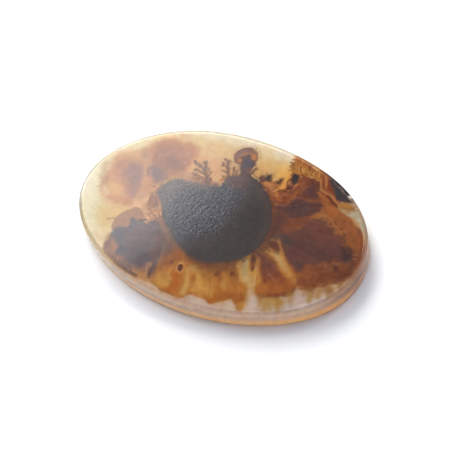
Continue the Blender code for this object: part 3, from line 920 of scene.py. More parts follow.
tufts((104, 62, 46), [(22.6, 0.1), (21.2, -0.2), (20.2, -0.8), (18.6, -1.5), (17, -2.5), (16, -3.7)], 0.55,
    0.3, 0.4, 0.6, seed=19, soft=0.35)
tufts((146, 90, 50), [(22.4, -0.2), (20.4, -1), (18.4, -1.9), (16.6, -2.9)], 0.7, 0.22, 0.6, 0.5, seed=20,
    soft=0.35)
stain((78, 52, 42), [(20.7, -0.9), (21.3, -1), (21.7, -1.5), (21.3, -2), (20.8, -1.5)], 0.6, 0.15, 0.85)
streak((150, 94, 62), [(20.3, -0.5), (20.9, -0.6), (21.3, -0.4)], 0.35, 0.4, 0.6)
specks((98, 58, 40), [(16.4, -3.4), (19, -2), (22.8, -0.4), (23.4, -2), (21, -4.4), (18, -5.6)], 26, 0.28,
    0.4, seed=22)
print("edges spotted")

# %% [markdown]
# The lower lobe and the pale tongue
#
# Between the rust field and the curtains hangs a lobe of orange-brown stain with a plum root, set off by
# a straw-yellow stripe above it and by a clear tongue of chalcedony on its left. Greenish-yellow drips
# run from the lobe's edge into the clear front of the stone.

# %% Paint the lower lobe
LOBE = [
    (8.4, -3), (9.6, -3.2), (10.8, -3.3), (12, -3.9), (13, -4.7), (14, -5.3), (15, -5.7), (16, -5.7),
    (16.6, -6.2), (17.1, -7), (17, -7.9), (16.4, -8.6), (15.5, -9.1), (15.1, -9.9), (14.4, -10.2),
    (13.4, -10.4), (12.5, -10.7), (11.7, -10), (11.1, -9.2), (10.7, -8.2), (10.5, -7), (10.1, -6.2),
    (9.6, -5.4), (9.1, -4.6), (8.6, -4)]
stain((168, 112, 50), LOBE, 0.8, 0.25, size=0.6)
stain((148, 85, 40), LOBE, 0.5, 0.25, size=0.5, seed=6)
stain((176, 126, 56), [(10.6, -6.4), (11.3, -7.4), (11.6, -8.6), (11.2, -9.1), (10.5, -7.6), (10.2, -6.6)],
    0.8, 0.2, 0.8)
stain((158, 94, 42), [(11.4, -8.4), (13, -8.2), (13.8, -9.2), (12.4, -9.9), (11.6, -9.6)], 1, 0.2, 0.75)
stain((112, 66, 46), [(8.8, -3.3), (10, -3.4), (11, -3.6), (12, -4.2), (12.8, -4.9), (13.8, -5.7),
    (13, -6.8), (11.8, -7), (11, -6.9), (10.4, -6), (9.7, -5.1), (9.2, -4.2)], 1.2, 0.4, size=0.6,
    patchy=0.2, spokes=(8.0, -2.0, 5.0))
stain((98, 60, 48), [(9.2, -3.6), (10.6, -3.8), (11.8, -4.5), (12.4, -5.3), (11.6, -5.9), (10.6, -5.6),
    (9.8, -4.8)], 1, 0.3, 0.8)
stain((118, 64, 38), [(12.8, -5), (14, -5.6), (15, -6), (14.6, -7), (13, -6.6)], 0.9, 0.3, 0.6)
fibres(LOBE, 0.5, 0.2, 37, spokes=(8.0, -2.0, 5.0))
streak((100, 54, 34), [(16.9, -7.1), (16.6, -8.2), (15.5, -8.9), (14.9, -9.8), (13.6, -10.1),
    (12.4, -10.5)], 0.6, 0.5, 0.8)
streak((104, 56, 34), [(11.8, -7.3), (12, -7.6)], 0.6, 0.5, 0.75)
streak((162, 102, 60), [(12, -6.2), (12.7, -6.5), (13.1, -6.9)], 0.3, 0.4, 0.6)
streak((124, 78, 62), [(10.5, -4.3), (10.8, -4.4)], 0.4, 0.5, 0.5)
for root_x, root_y, tip_y in (
        (14.2, -6.2, -7.6), (15.2, -6.6, -7.9), (13.4, -7.2, -8.6), (12.8, -6.4, -7.4)):
    streak((116, 64, 34), [(root_x, root_y), (root_x + 0.25, tip_y)], 0.25, 0.3, 0.4, thin=0.12)
print("lobe painted")

# %% Paint the straw stripe
stain((122, 78, 50), [(8.4, 0.4), (10.4, 0.4), (11.2, -0.6), (10.6, -1.8), (9.4, -3.2), (8.2, -3.2)], 0.7,
    0.3, 0.7, size=0.4)
stain((166, 112, 52), [(9, -2), (10.1, -2), (11.2, -1), (12.2, -2), (13.2, -2.95), (14.3, -3.8),
    (15.5, -4.6), (16.4, -5.3), (16.4, -6.2), (14.6, -5.5), (13, -4.9), (12, -4.1), (11, -3.5), (9.8, -3.1),
    (8.6, -2.9)], 0.8, 0.25, 0.85)
stain((172, 128, 70), [(9.4, -2.3), (10.3, -2.4), (11, -2), (11.6, -1.5), (12.2, -2.1), (13.1, -3),
    (14, -3.8), (15, -4.7), (15.6, -5.3), (14.4, -5), (13, -4.3), (12, -3.5), (11, -3), (9.8, -2.8)], 0.6,
    0.25, size=0.4)
stain((176, 142, 92), [(11.4, -2.1), (12.4, -2.9), (13.4, -3.9), (12.8, -3.9), (11.6, -3.1), (10.9, -2.5)],
    0.7, 0.2, 0.85)
specks((92, 58, 44), [(8.4, 0.6), (10.2, 0.2), (10.8, -1.6), (9.6, -3.2), (8.3, -3.2)], 18, 0.26, 0.6,
    seed=51)
specks((186, 140, 92), [(8.5, 0.2), (10.2, -0.2), (10.6, -1.8), (9.6, -2.8), (8.5, -2.8)], 14, 0.2, 0.6,
    seed=52)
streak((164, 112, 66), [(10.4, 0.1), (10.9, -0.6), (11.6, -1.5), (12.4, -2.2)], 0.4, 0.5, 0.85, thin=0.5)
streak((150, 102, 60), [(8.6, -0.3), (9.6, -0.5), (10.3, -0.2)], 0.4, 0.5, 0.6)
stain((92, 56, 46), [(9.5, -0.7), (10.5, -0.5), (11.2, -1.1), (11.7, -1.9), (11.1, -2.1), (10.2, -1.9),
    (9.5, -1.5)], 0.5, 0.2, 0.9)
stain((112, 72, 48), [(9.2, -2.6), (10.4, -2.9), (11.8, -3.6), (13, -4.6), (12.4, -4.8), (11.2, -4),
    (9.6, -3.4)], 0.7, 0.25, 0.75)
stain((84, 56, 46), [(7.9, 4.4), (9.2, 4), (9.8, 2), (9.8, 0), (9.6, -1.6), (9, -3), (8.5, -4.4),
    (7.6, -4.2), (8, -1), (8, 2)], 1.2, 0.5, 0.75, size=0.5, spokes=HUB)
tufts((86, 58, 46), [(8, -3.6), (8.3, -2.4), (8.45, -1.2), (8.5, 0.2), (8.4, 1.4)], -1.1, 0.3, 0.4, 0.8,
    seed=24, soft=0.25)
tufts((168, 120, 70), [(8.2, -3), (8.4, -1.8), (8.5, -0.8)], -1, 0.18, 0.55, 0.5, seed=25)
print("stripe painted")

# %% Paint the clear tongue
TONGUE = [
    (7.3, -4.4), (6.9, -5.6), (6.5, -6.4), (7.2, -7.2), (7.8, -8.1), (8.5, -8.9), (9.6, -9.3), (10.2, -10),
    (10.4, -10.8), (10.8, -12), (11.2, -13), (13, -13), (13, -11), (11.6, -10.1), (10.9, -9), (10.5, -7.8),
    (10.1, -6.6), (9.5, -6), (9.2, -4.8), (8.4, -4)]
stain((178, 130, 58), TONGUE, 0.9, 0.25)
stain((172, 134, 78), [(7.3, -5), (7, -6), (7.6, -7.2), (8.6, -8.2), (9.6, -8.8), (10.3, -9.6),
    (10.9, -10.8), (11.4, -12.6), (12.8, -12.8), (12.6, -11.2), (11.4, -10.2), (10.6, -9), (10, -7.6),
    (9.4, -7), (8.6, -6.6), (8, -5.2)], 0.8, 0.2, 0.9)
stain((160, 137, 92), [(7.3, -5), (7.2, -6.2), (7.6, -7), (8.4, -8), (8.8, -7.6), (8.2, -6.4), (7.9, -5.2)],
    0.8, 0.2, 0.85)
stain((188, 156, 106), [(8.4, -8), (9.2, -7.8), (10, -8.7), (10.3, -9.5), (9.4, -9)], 0.6, 0.2, 0.75)
stain((178, 148, 120), [(10.4, -9.6), (11.2, -10.2), (12, -11), (12.8, -12.6), (11.4, -13), (10.9, -11.6)],
    0.9, 0.2, 0.9)
stain((114, 66, 42), [(7.9, -3.8), (8.6, -4.1), (9.2, -5.1), (9.5, -6.2), (9.3, -6.7), (8.8, -6.4),
    (8.3, -5.5), (7.9, -4.8)], size=0.4)
stain((84, 56, 44), [(7.9, -3.8), (8.6, -4.1), (8.9, -4.8), (8.4, -5.2), (7.9, -4.6)], 0.5, 0.15, 0.8)
streak((150, 100, 58), [(8.9, -4), (9.3, -4.8), (9.6, -5.6)], 0.15, 0.25, 0.7)
streak((166, 110, 56), [(9.1, -3.9), (9.6, -4.9), (10, -6), (10.4, -7)], 0.2, 0.5, 0.7, thin=0.4)
tufts((98, 60, 44), [(6.4, -5.5), (7.4, -4.6), (8.2, -3.8)], -0.7, 0.3, seed=26, soft=0.3)
print("tongue painted")

# %% Let the drips run
stain((166, 132, 88), [(12, -10.3), (14.6, -9.7), (16.4, -8.4), (17.6, -8.9), (16.6, -10.4), (15, -11.6),
    (13, -12.2), (12.2, -11.4)], 1.1, 0.6, 0.8, size=0.6, patchy=0.4)
stain((162, 124, 88), [(17.2, -6.8), (19.4, -6), (21.4, -4.8), (23, -3.2), (24, -2.4), (23.4, -4.6),
    (21.6, -6.8), (19.4, -8.6), (17.8, -8.6)], 1.2, 0.6, 0.75, size=0.6, patchy=0.4)
stain((182, 162, 150), [(11.4, -10.4), (12.2, -10.7), (12.8, -11.3), (13.2, -12.2), (13.4, -13),
    (12.4, -13.4), (11.7, -12.9), (11.5, -11.6)], 0.7, 0.2, 0.8)
stain((186, 168, 158), [(17.4, -7.4), (19, -7), (19.4, -8), (18.4, -9.4), (17.3, -8.8)], 0.7, 0.2, 0.6)
stain((166, 130, 74), [(13.4, -10.6), (14, -12.3), (15.2, -12.5), (16.2, -11.6), (17.2, -10.9),
    (16.8, -9.8), (15.2, -10)], 0.8, 0.3, 0.2)
stain((168, 130, 76), [(18.9, -6.8), (19.6, -8.2), (20.6, -8.2), (21.2, -7), (22.8, -6), (22.8, -4.8),
    (20.4, -6)], 0.7, 0.3, 0.25)
for line, strength in (
        ([(14, -9.7), (14.9, -9.3)], 0.6), ([(15.9, -8.6), (16.6, -8)], 0.6),
        ([(18.8, -6), (19.4, -5.8)], 0.6)):
    streak((112, 54, 30), line, 1, 0.6, strength)
dice = np.random.default_rng(60)
DRIPS = (                # root, tip, width at the root, colour
    ((13.9, -10.6), (14.4, -12.3), 1.2, (156, 118, 58)), ((14.6, -10.4), (15.1, -12), 1.2, (158, 124, 66)),
    ((15.9, -10), (16.3, -11.6), 1.5, (150, 112, 40)), ((12.9, -10.8), (13.2, -11.5), 0.6, (154, 112, 60)),
    ((13.9, -12.4), (14.8, -12.6), 0.3, (146, 108, 56)), ((16.8, -8.2), (17.4, -9.5), 1.4, (150, 110, 54)),
    ((15.3, -9.8), (15.6, -10.5), 0.7, (150, 106, 50)), ((19.3, -6.6), (20, -8.2), 1.4, (152, 114, 58)),
    ((20.6, -6), (21, -6.9), 1, (150, 112, 58)), ((18.5, -7), (18.8, -7.7), 0.7, (146, 100, 48)),
    ((21.9, -5.1), (22.3, -6.3), 1.3, (148, 102, 52)), ((23.2, -3.6), (23.6, -4.7), 0.7, (152, 104, 62)),
    ((10.6, -12.7), (11, -13.6), 1, (172, 124, 60)),
)
for root, tip, thick, color in DRIPS:
    middle = 0.5 * (np.array(root) + np.array(tip)) + dice.normal(0, 0.12, 2)
    streak(color, [root, middle, tip], thick, 0.9, 0.75, thin=thick * 0.5)
print(len(DRIPS), "drips")

# %% [markdown]
# The top right: fan, swirl and wedge
#
# Behind the brown masses an amber fan spreads to the rim, its left edge toothed like a feather. To its
# right, bands of rust swirl down between the masses and a sooty oval, and end in a dark vein and a
# straw-coloured wedge.

# %% Paint the fan
FAN_ROOT = (9.5, 9.0, 6.0)
FAN = [
    (5.3, 15.35), (5.8, 14.9), (5.5, 14.5), (6.1, 14.2), (5.4, 13.9), (6, 13.6), (5.6, 13.1), (6.2, 12.8),
    (6.4, 12), (6.3, 11), (7, 10.4), (8.6, 12), (10, 12.5), (11.6, 12.3), (12.6, 12), (13.4, 12.6),
    (12.8, 13.8), (11, 14.8), (9, 15.5), (7, 15.9)]
stain((160, 105, 48), FAN, 0.35, size=0.5)
stain((144, 82, 36), [(6, 14.9), (7.6, 14.2), (9, 13.8), (10.6, 13.4), (11.4, 13.6), (10, 14.6), (8, 15.2)],
    0.8, 0.5, 0.75, size=0.5, spokes=FAN_ROOT)
stain((180, 128, 62), [(6.4, 12.6), (8, 13.2), (10, 13.1), (11.6, 12.8), (11.2, 12.4), (9.4, 12.7),
    (8, 12.6)], 0.5, 0.4, 0.75, size=0.5, spokes=FAN_ROOT)
fibres(FAN, 0.45, 0.45, 41, spokes=FAN_ROOT, soft=0.5)
stain((194, 148, 88), [(9.2, 14.6), (10.4, 14.3), (10.8, 13.6), (9.8, 13.9)], 0.5, 0.2, 0.55)
stain((104, 66, 50), [(10.6, 14.4), (11.6, 13.8), (12.8, 12.9), (13.6, 13.2), (12.4, 14.4), (11, 15)], 0.5)
tufts((146, 90, 40), [(6.3, 12.2), (6.15, 13.2), (6.2, 14.2), (6, 15.2)], 0.7, 0.26, 0.4, 0.9, seed=27,
    lean=0.15, soft=0.16)
tufts((186, 134, 66), [(7, 13), (8.4, 13.5), (9.8, 13.4), (11.2, 13.1)], 0.8, 0.22, 0.45, 0.6, seed=28)
tufts((118, 66, 30), [(6.8, 13.4), (8.2, 14), (9.8, 13.9), (11.2, 13.5)], 0.7, 0.2, 0.45, 0.6, seed=29)
for line in (
        [(6.4, 12.4), (6.8, 13), (7.6, 13.3)], [(8.3, 12.6), (9.2, 12.95), (10.4, 12.9)],
        [(7.2, 12.6), (7.9, 12.9)], [(11, 12.7), (11.8, 12.5)]):
    streak((132, 76, 34), line, 0.2, 0.25, 0.6)
dice = np.random.default_rng(61)
for start_x in np.arange(6.6, 12.4, 0.42):
    root = np.array([start_x + dice.normal(0, 0.1), 12.7 + 0.25 * dice.random()])
    way = root - np.array(FAN_ROOT[:2])
    way = way / np.hypot(*way) * dice.uniform(0.9, 1.9)
    side = np.array([-way[1], way[0]]) * dice.normal(0.12, 0.12)
    streak((96, 54, 28), [root, root + 0.5 * way + side, root + way], 0.2, 0.22, 0.75, thin=0.1)
    streak((200, 146, 74), [root + (0.2, 0.05), root + 0.5 * way + side + (0.2, 0.05)], 0.16, 0.2, 0.6)
print("fan painted")

# %% Paint the swirl, the oval and the wedge
stain((133, 75, 42), [(11.4, 13.8), (12.6, 13.6), (14, 12.7), (15, 11.7), (15.8, 11.1), (16.2, 10.4),
    (16.6, 9.6), (16, 8.9), (14.6, 9), (13.2, 9.2), (12.6, 10), (12.4, 11), (12, 12), (11.4, 12.8)], 0.5,
    0.15)
for color, line, thick, strength in (
        ((120, 60, 34), [(12.6, 12.7), (13.1, 12.1), (13.7, 11.5), (14.5, 10.9)], 0.7, 0.6),
        ((172, 118, 64), [(11.6, 12.8), (12.1, 11.7), (12.5, 11.1), (13.4, 10.65),
            (14.4, 10.4)], 0.26, 0.85),
        ((166, 110, 60), [(12.5, 12.9), (12.9, 12), (13.4, 11.2), (14.4, 10.8), (15.2, 10.3),
            (16, 9.8)], 0.25, 0.65),
        ((178, 124, 64), [(12.1, 13.4), (12.6, 12.6), (12.9, 11.9)], 0.25, 0.7),
        ((154, 96, 48), [(12.4, 10.3), (13.4, 9.8), (14.6, 9.4)], 0.5, 0.7),
        ((118, 62, 34), [(13, 12.9), (13.6, 12), (14.4, 11.3), (15, 10.7)], 0.35, 0.7),
        ((120, 64, 38), [(12.2, 12.5), (12.6, 11.6), (13, 11)], 0.3, 0.6),
        ((112, 58, 36), [(11.8, 12.9), (12.2, 12.1), (12.5, 11.4)], 0.2, 0.6),
        ((172, 118, 70), [(12.4, 10.9), (13.4, 10.75), (14.4, 10.5), (15.4, 9.9), (16.3, 9.5)], 0.22, 0.8),
        ((104, 56, 32), [(12.4, 10.6), (13.2, 10.35), (14, 10.2)], 0.18, 0.5),
        ((86, 44, 30), [(14, 10.25), (14.6, 9.95), (15.1, 9.5), (15.7, 9.2), (16.4, 8.95)], 0.34, 0.95)):
    streak(color, line, thick, 0.28, strength)
stain((106, 72, 62), [(12.2, 13.9), (13.4, 13.6), (15, 12.9), (16.6, 12.1), (17.6, 11.4), (18.6, 10.6),
    (19, 11), (17.6, 12.6), (15, 14), (12.6, 15)], 0.5, 0.15, 0.9)
stain((118, 66, 48), [(15, 10.9), (15.6, 10.2), (16.6, 9.9), (17.6, 10.2), (17, 10.6), (15.6, 10.8)], 0.5,
    0.15, 0.8)
stain((64, 57, 56), [(13.1, 13), (13.9, 12.9), (14.8, 12.5), (15.6, 12.1), (16.6, 11.6), (17.5, 11),
    (18.4, 10.55), (17.8, 10.25), (16.8, 10.2), (16, 10.05), (15.4, 10.35), (14.9, 11.1), (14.2, 11.8),
    (13.5, 12.5)], 0.35, 0.14, size=0.4)
stain((84, 66, 68), [(13.6, 13), (15.4, 12.5), (17, 11.6), (17, 11.2), (15.4, 12), (13.6, 12.6)], 0.5, 0.2,
    0.6)
stain((160, 108, 52), [(16.2, 9.5), (16.6, 8.9), (17.5, 8.95), (18.4, 9.1), (19, 9.4), (18.9, 9.8),
    (18.2, 10.15), (17.3, 10.1), (16.7, 9.85)], 0.45, 0.12)
streak((172, 124, 64), [(16.7, 9.75), (17.6, 9.85), (18.6, 9.9)], 0.25, 0.3, 0.4)
stain((60, 50, 50), [(12.6, 14.2), (14.4, 13.6), (16.4, 12.7), (18, 11.6), (18.2, 10.7), (17, 11.4),
    (15, 12.4), (13, 13.1)], 0.35, 0.1, 0.9)
tufts((62, 50, 50), [(13, 13), (14, 12.2), (14.8, 11.3), (15.4, 10.7), (16.2, 10.4)], -0.35, 0.26, 0.4, 0.8,
    seed=53)
streak((124, 72, 40), [(17.4, 10.35), (18.3, 10.35), (19, 10)], 0.25, 0.3, 0.7)
stain((132, 106, 62), [(16.9, 9), (17.8, 8.4), (18.8, 8.3), (18.4, 8.9), (17.4, 9.1)], 0.5, 0.2, 0.8)
stain((122, 98, 60), [(19.4, 9.6), (20.4, 8.8), (21.4, 8), (21, 8.6), (20, 9.6)], 0.6, 0.2, 0.5)
stain((176, 134, 86), [(19.2, 8), (20.2, 8), (21.4, 6.9), (21, 6.6), (20, 7.3)], 0.6, 0.15, 0.7)
stain((150, 134, 108), [(19.3, 9.4), (20.2, 8.9), (20.6, 8.2), (19.6, 8.3)], 0.6, 0.15, 0.5)
stain((178, 138, 92), [(17.3, 8.9), (18.2, 8.9), (18.9, 8.6), (18.2, 8.3)], 0.4, 0.1, 0.6)
streak((128, 78, 36), [(17.2, 9.1), (18.2, 9.25), (19, 9.6)], 0.22, 0.25, 0.6)
streak((112, 70, 50), [(21.4, 6.2), (21.9, 5.5)], 0.7, 0.6, 0.5)
print("top right painted")

# %% [markdown]
# The mottled ground by the islands
#
# Between the blot and the brown masses the amber is mottled orange and red-brown, and small brown discs
# and black islands float in it.

# %% Paint the ground
stain((178, 112, 50), [(2.6, 8.8), (3.6, 9.5), (4.6, 9.3), (5.4, 9.9), (6.2, 10.6), (6.6, 12.3),
    (8.4, 12.4), (9, 8), (8.4, 6.2), (6, 6), (4, 7.4), (3, 8.2)], 1.2, 0.5, patchy=0.3)
stain((122, 66, 42), [(7, 10), (8.2, 11.6), (8.7, 11.8), (9, 8), (8.6, 6.4), (6.6, 6.2), (5.8, 7.2),
    (6.4, 8.2), (7.2, 9)], 0.8, 0.5, size=0.5, patchy=0.35)
stain((132, 74, 44), [(2.4, 8.8), (3.4, 8.9), (4.6, 8.4), (5.8, 7.4), (6.4, 6.6), (5.4, 6.4), (4, 7.4)],
    0.7, 0.4, 0.85, size=0.45)
stain((184, 120, 68), [(3.2, 9), (3.8, 9.3), (4.8, 9.2), (4.8, 8.4), (4, 8.2), (3.2, 8.5)], 0.6, 0.3, 0.7)
stain((212, 158, 78), [(6.2, 8.9), (6.2, 10.2), (6.1, 12.2), (6.7, 12.2), (6.6, 10.4), (6.9, 9.4),
    (6.6, 8.8)], 0.7, 0.2, 0.8)
stain((112, 64, 44), [(7.6, 8.4), (8.8, 8.2), (8.8, 9.8), (8.3, 10.4), (7.7, 9.6)], 0.8, 0.3, 0.7)
stain((132, 80, 48), [(4.4, 9), (4.6, 9.7), (5.4, 9.7), (5.8, 9), (5.2, 8.4)], 0.7, 0.3, 0.75)
for color, line, thick in (
        ((96, 56, 48), [(7.7, 9.3), (8.1, 9.6)], 0.9), ((134, 84, 66), [(7.2, 8.1), (7.3, 7.9)], 0.7),
        ((100, 56, 46), [(6.6, 6.3), (7.6, 6.3), (8.4, 6.6)], 0.5),
        ((92, 50, 34), [(7.2, 9), (7.4, 9.6), (7.9, 9.9)], 0.2),
        ((126, 72, 48), [(6.7, 7.9), (7.2, 8.1)], 0.75),
        ((84, 48, 30), [(6.2, 8.15), (6.6, 8.5), (7.3, 8.6)], 0.3),
        ((156, 106, 88), [(7, 9.95), (7.5, 10.05), (8, 9.95)], 0.26),
        ((90, 50, 34), [(7.1, 9.8), (7.2, 9.4), (7.6, 9.1)], 0.28),
        ((142, 82, 56), [(7.3, 8.2), (7.7, 7.9), (8.1, 7.7)], 0.35),
        ((150, 94, 50), [(5.6, 7.5), (6, 7.4)], 0.45),
        ((112, 64, 36), [(5.4, 9.4), (5.55, 8.9), (5.4, 8.3), (5.1, 8.1)], 0.26),
        ((116, 68, 36), [(4, 10.1), (4.3, 9.6), (4.2, 9.2)], 0.25),
        ((176, 118, 78), [(7.7, 11), (8.2, 11.9), (8.6, 12.1)], 0.24),
        ((108, 62, 40), [(8.3, 12.4), (8.8, 12.2)], 0.4),
        ((104, 58, 38), [(6.2, 6.6), (7, 6.9), (7.6, 7.4)], 0.3),
        ((172, 108, 60), [(8.2, 9.2), (8.4, 10), (8.3, 10.8)], 0.25),
        ((100, 54, 34), [(6.9, 10.9), (6.7, 10.3), (6.9, 9.9)], 0.2)):
    streak(color, line, thick, 0.3, 0.85)
specks((104, 56, 32), [(3, 8.7), (5, 8.2), (6.6, 6.6), (8.4, 6.8), (8.8, 9), (8.4, 11.6), (7, 9.2),
    (5.6, 7.6)], 34, 0.22, 0.6, seed=42)
specks((206, 142, 76), [(3, 8.7), (5, 8.4), (6.6, 7), (8.4, 7), (8.6, 9), (8.2, 10.6), (6.6, 10)], 22, 0.2,
    0.5, seed=43)
tufts((92, 52, 36), [(2.4, 8.7), (3.4, 8.1), (4.4, 7.5), (5.3, 6.8), (6.1, 6), (6.9, 4.9)], 0.35, 0.26,
    0.34, 0.8, seed=44)
print("ground painted")

# %% [markdown]
# The black blot
#
# The heart of the stone is one big growth of black manganese oxide. Its lower edge is smooth, its upper
# edge is crenulated, and it is greyer towards the upper left. Around it the stain is browned, so a soft
# brown is laid under its edge before the soot itself.

# %% Grow the black blot
BLOT = [
    (-12.2, 1.5), (-11.9, 2.4), (-11.4, 3.2), (-10.7, 3.9), (-9.7, 4.35), (-8.6, 4.5), (-7.6, 4.6),
    (-6.8, 4.8), (-6, 4.9), (-5, 5.1), (-4, 5.3), (-3, 5.7), (-2.6, 6.2), (-2.7, 7), (-2.8, 7.8), (-2, 8.1),
    (-1.2, 8.4), (0.4, 8.7), (1.7, 8.8), (2.6, 8.4), (3.3, 7.9), (4.2, 7.4), (5, 6.8), (5.6, 6.3),
    (6.3, 5.6), (6.9, 4.6), (7.5, 3.4), (8, 2.2), (8.25, 1), (8.35, -0.4), (8.25, -1.8), (8, -3),
    (7.4, -4.15), (6.5, -5.3), (5.6, -6.05), (4.55, -6.8), (3.3, -7.4), (2, -7.95), (0.5, -8.2), (-1, -8),
    (-2.5, -7.5), (-3.8, -6.9), (-5, -6.3), (-6, -5.6), (-7, -4.8), (-8, -4), (-8.9, -3.2), (-9.5, -2.4),
    (-10, -1.5), (-10.6, -0.6), (-11.4, -0.1), (-11.9, 0.5), (-12.3, 1)]
stain((102, 64, 42), BLOT, 2, 0.3, 0.85, seed=4)
stain((88, 58, 42), BLOT, 0.9, 0.25, seed=4)
stain((92, 60, 42), [(-1.5, -7.6), (1, -8), (3, -7.4), (5, -6.2), (6.6, -5.6), (6.2, -7.2), (4.6, -8.9),
    (2.4, -9.3), (0, -9.2), (-1.6, -8.8)], 1.8, 0.4, 0.6)
stain((134, 80, 40), [(-3.2, -7.2), (-1.6, -8.1), (0.4, -8.6), (2.2, -8.5), (1, -8.9), (-1.6, -8.8)], 0.8,
    0.2, 0.4)


def blot_edge(x, y):
    """Width of the blot's edge in mm: crisp, but soft in front and a little so at the left."""
    in_front = smooth((-y - 1.5 + 0.1 * x) / 3) * smooth((7.6 - x) / 2)
    at_left = smooth((-1 - x) / 3) * smooth((y + 1) / 2)
    return 0.14 + 0.55 * in_front + 0.22 * at_left


soot((68, 62, 58), BLOT, ripple=0.08, size=0.5, soft=blot_edge)
TOP_LEFT = [(-11.8, 1), (-11.2, 2.2), (-10, 3.3), (-8.6, 3.8), (-6, 4.4), (-3.6, 5)]
soot((74, 62, 62), TOP_LEFT, 0.9, ripple=0.42, size=0.34, soft=0.3)
TOP = [(-2.6, 6.2), (-2.4, 7.4), (-0.8, 8.2), (1.4, 8.6), (3, 7.9), (5, 6.5)]
soot((70, 58, 56), TOP, 0.7, ripple=0.25, size=0.3)
LEFT = [(-11.4, 0.8), (-10.1, -0.8), (-9.1, -2.2), (-7.6, -3.8)]
soot((76, 62, 64), LEFT, 0.6, ripple=0.3, size=0.3, soft=0.25)
print("blot grown")

# %% Grey its upper left
stain((64, 63, 70), [(-12.4, 1.4), (-9.4, 4.8), (-5, 5.6), (-1, 8), (0.6, 6), (0.4, 0), (-2, -4.6),
    (-5, -6.2), (-9, -3)], 3.5, 0.6, size=1.5, on=ink)
stain((92, 80, 80), [(-12.6, 1.2), (-11.6, 3.2), (-9.8, 4), (-8.6, 3), (-9.2, 0.6), (-9.8, -1.6),
    (-11, -0.9), (-12.2, 0)], 2, 0.5, size=0.6, patchy=0.3, on=ink)
stain((92, 78, 76), [(-9.8, 3.4), (-9, 4.9), (-6.4, 5.2), (-3.6, 5.9), (-3.8, 4.9), (-6.4, 4), (-8.6, 3.4)],
    1, 0.4, 0.85, size=0.4, on=ink)
stain((84, 62, 59), [(-2.8, 6.4), (-2.8, 7.8), (-1, 8.6), (0.8, 8.4), (1, 6.8), (-0.6, 6)], 1.2, 0.3,
    on=ink)
stain((82, 66, 60), [(0.6, 8.6), (3.4, 7.6), (5.4, 6.3), (6.8, 4.4), (7.9, 2), (8.1, -1), (7.4, -3.6),
    (7.4, -1), (6.8, 2), (5.6, 4.6), (3.4, 6.6), (1, 7.6)], 1, 0.3, 0.6, on=ink)
tufts((98, 62, 40), [(-12.2, 1.8), (-11.3, 3.3), (-10, 4.6), (-8.6, 4.8), (-6.6, 5.2), (-4.4, 5.6),
    (-3, 6.2)], 0.5, 0.24, 0.3, 0.75, seed=45)
stain((112, 88, 80), [(-9.6, 4), (-8.9, 5.2), (-7.6, 5.6), (-6, 6.2), (-4.6, 6.1), (-3.6, 5.9), (-3.2, 5.4),
    (-5, 4.6), (-8, 4)], 0.8, 0.4, 0.8, size=0.4)
specks((98, 66, 50), [(-11.6, 3.2), (-10.2, 4.6), (-8, 5.2), (-5, 5.9), (-3.2, 6.6), (-3.2, 5.4), (-8, 4.2),
    (-10.6, 3.2)], 40, 0.22, 0.6, seed=57)
specks((196, 148, 112), [(-11.4, 3), (-9.8, 4.5), (-6, 5.5), (-4, 5.8), (-4, 5.2), (-7, 4.6)], 24, 0.16,
    0.4, seed=46)
stain((96, 72, 62), [(-8.6, -3.6), (-7.4, -4.6), (-6.2, -5.4), (-4.8, -6.4), (-4.2, -7.4), (-4.6, -9),
    (-5.4, -9.6), (-6.2, -8), (-7.4, -6.4), (-8.6, -5)], 1.5, 0.4, 0.8, size=0.6)
print("soot points", int((soot_depth > 0).sum()))

# %% Let it fray at the left
stain((136, 84, 56), [(-13, 0.3), (-12.7, -1.2), (-12.2, -2.2), (-11.2, -2.2), (-10.6, -1.3), (-11.2, -0.3),
    (-12.2, 0.2)], 0.45)
stain((150, 94, 48), [(-11.9, -2.4), (-11.7, -3.3), (-10.8, -3.6), (-10, -3.4), (-9.4, -2.9), (-10.2, -2.4),
    (-11, -2.2)], 0.5, 0.25, size=0.4)
stain((118, 80, 64), [(-10.4, -3.1), (-9.2, -3.3), (-8, -4.1), (-6.8, -4.9), (-6.2, -5.6), (-6.8, -6),
    (-7.6, -5.4), (-8.8, -4.5), (-10, -4)], 0.8, 0.25, 0.8, size=0.5)
tufts((104, 58, 34), [(-12.6, -1), (-12.1, -2.2), (-11.2, -2.3), (-10.4, -2)], -0.35, 0.26, 0.32, 0.75,
    seed=47)
tufts((104, 58, 34), [(-11.8, -3.2), (-10.8, -3.7), (-9.8, -3.4), (-9, -3)], -0.35, 0.26, 0.34, 0.75,
    seed=48)
specks((110, 62, 36), [(-13, -0.4), (-12.2, -2.8), (-11.4, -4.2), (-9.6, -4), (-9, -2.6), (-11, -1)], 22,
    0.22, 0.6, seed=49)
specks((206, 156, 112), [(-12.4, -2.4), (-11.4, -4.4), (-9.8, -4), (-9, -2.8), (-10.6, -2.2)], 16, 0.2, 0.6,
    seed=50)
for glint in ((-11.35, -2.35), (-10.7, -2.8), (-10.3, -2.9), (-10, -3.15), (-9.7, -2.6), (-11.2, -4.9)):
    streak((200, 146, 104), [glint, (glint[0] + 0.2, glint[1] - 0.15)], 0.22, 0.25, 0.65)
streak((108, 62, 38), [(-12.95, 0.5), (-12.75, -0.6), (-12.5, -1.4)], 0.25, 0.25, 0.6)
streak((112, 66, 46), [(-13.7, 1.6), (-13.2, 1.5)], 0.25, 0.3, 0.6)
streak((92, 70, 68), [(-12.2, -0.3), (-11.2, -1.2), (-10.3, -2.1)], 0.4, 0.3, 0.45)
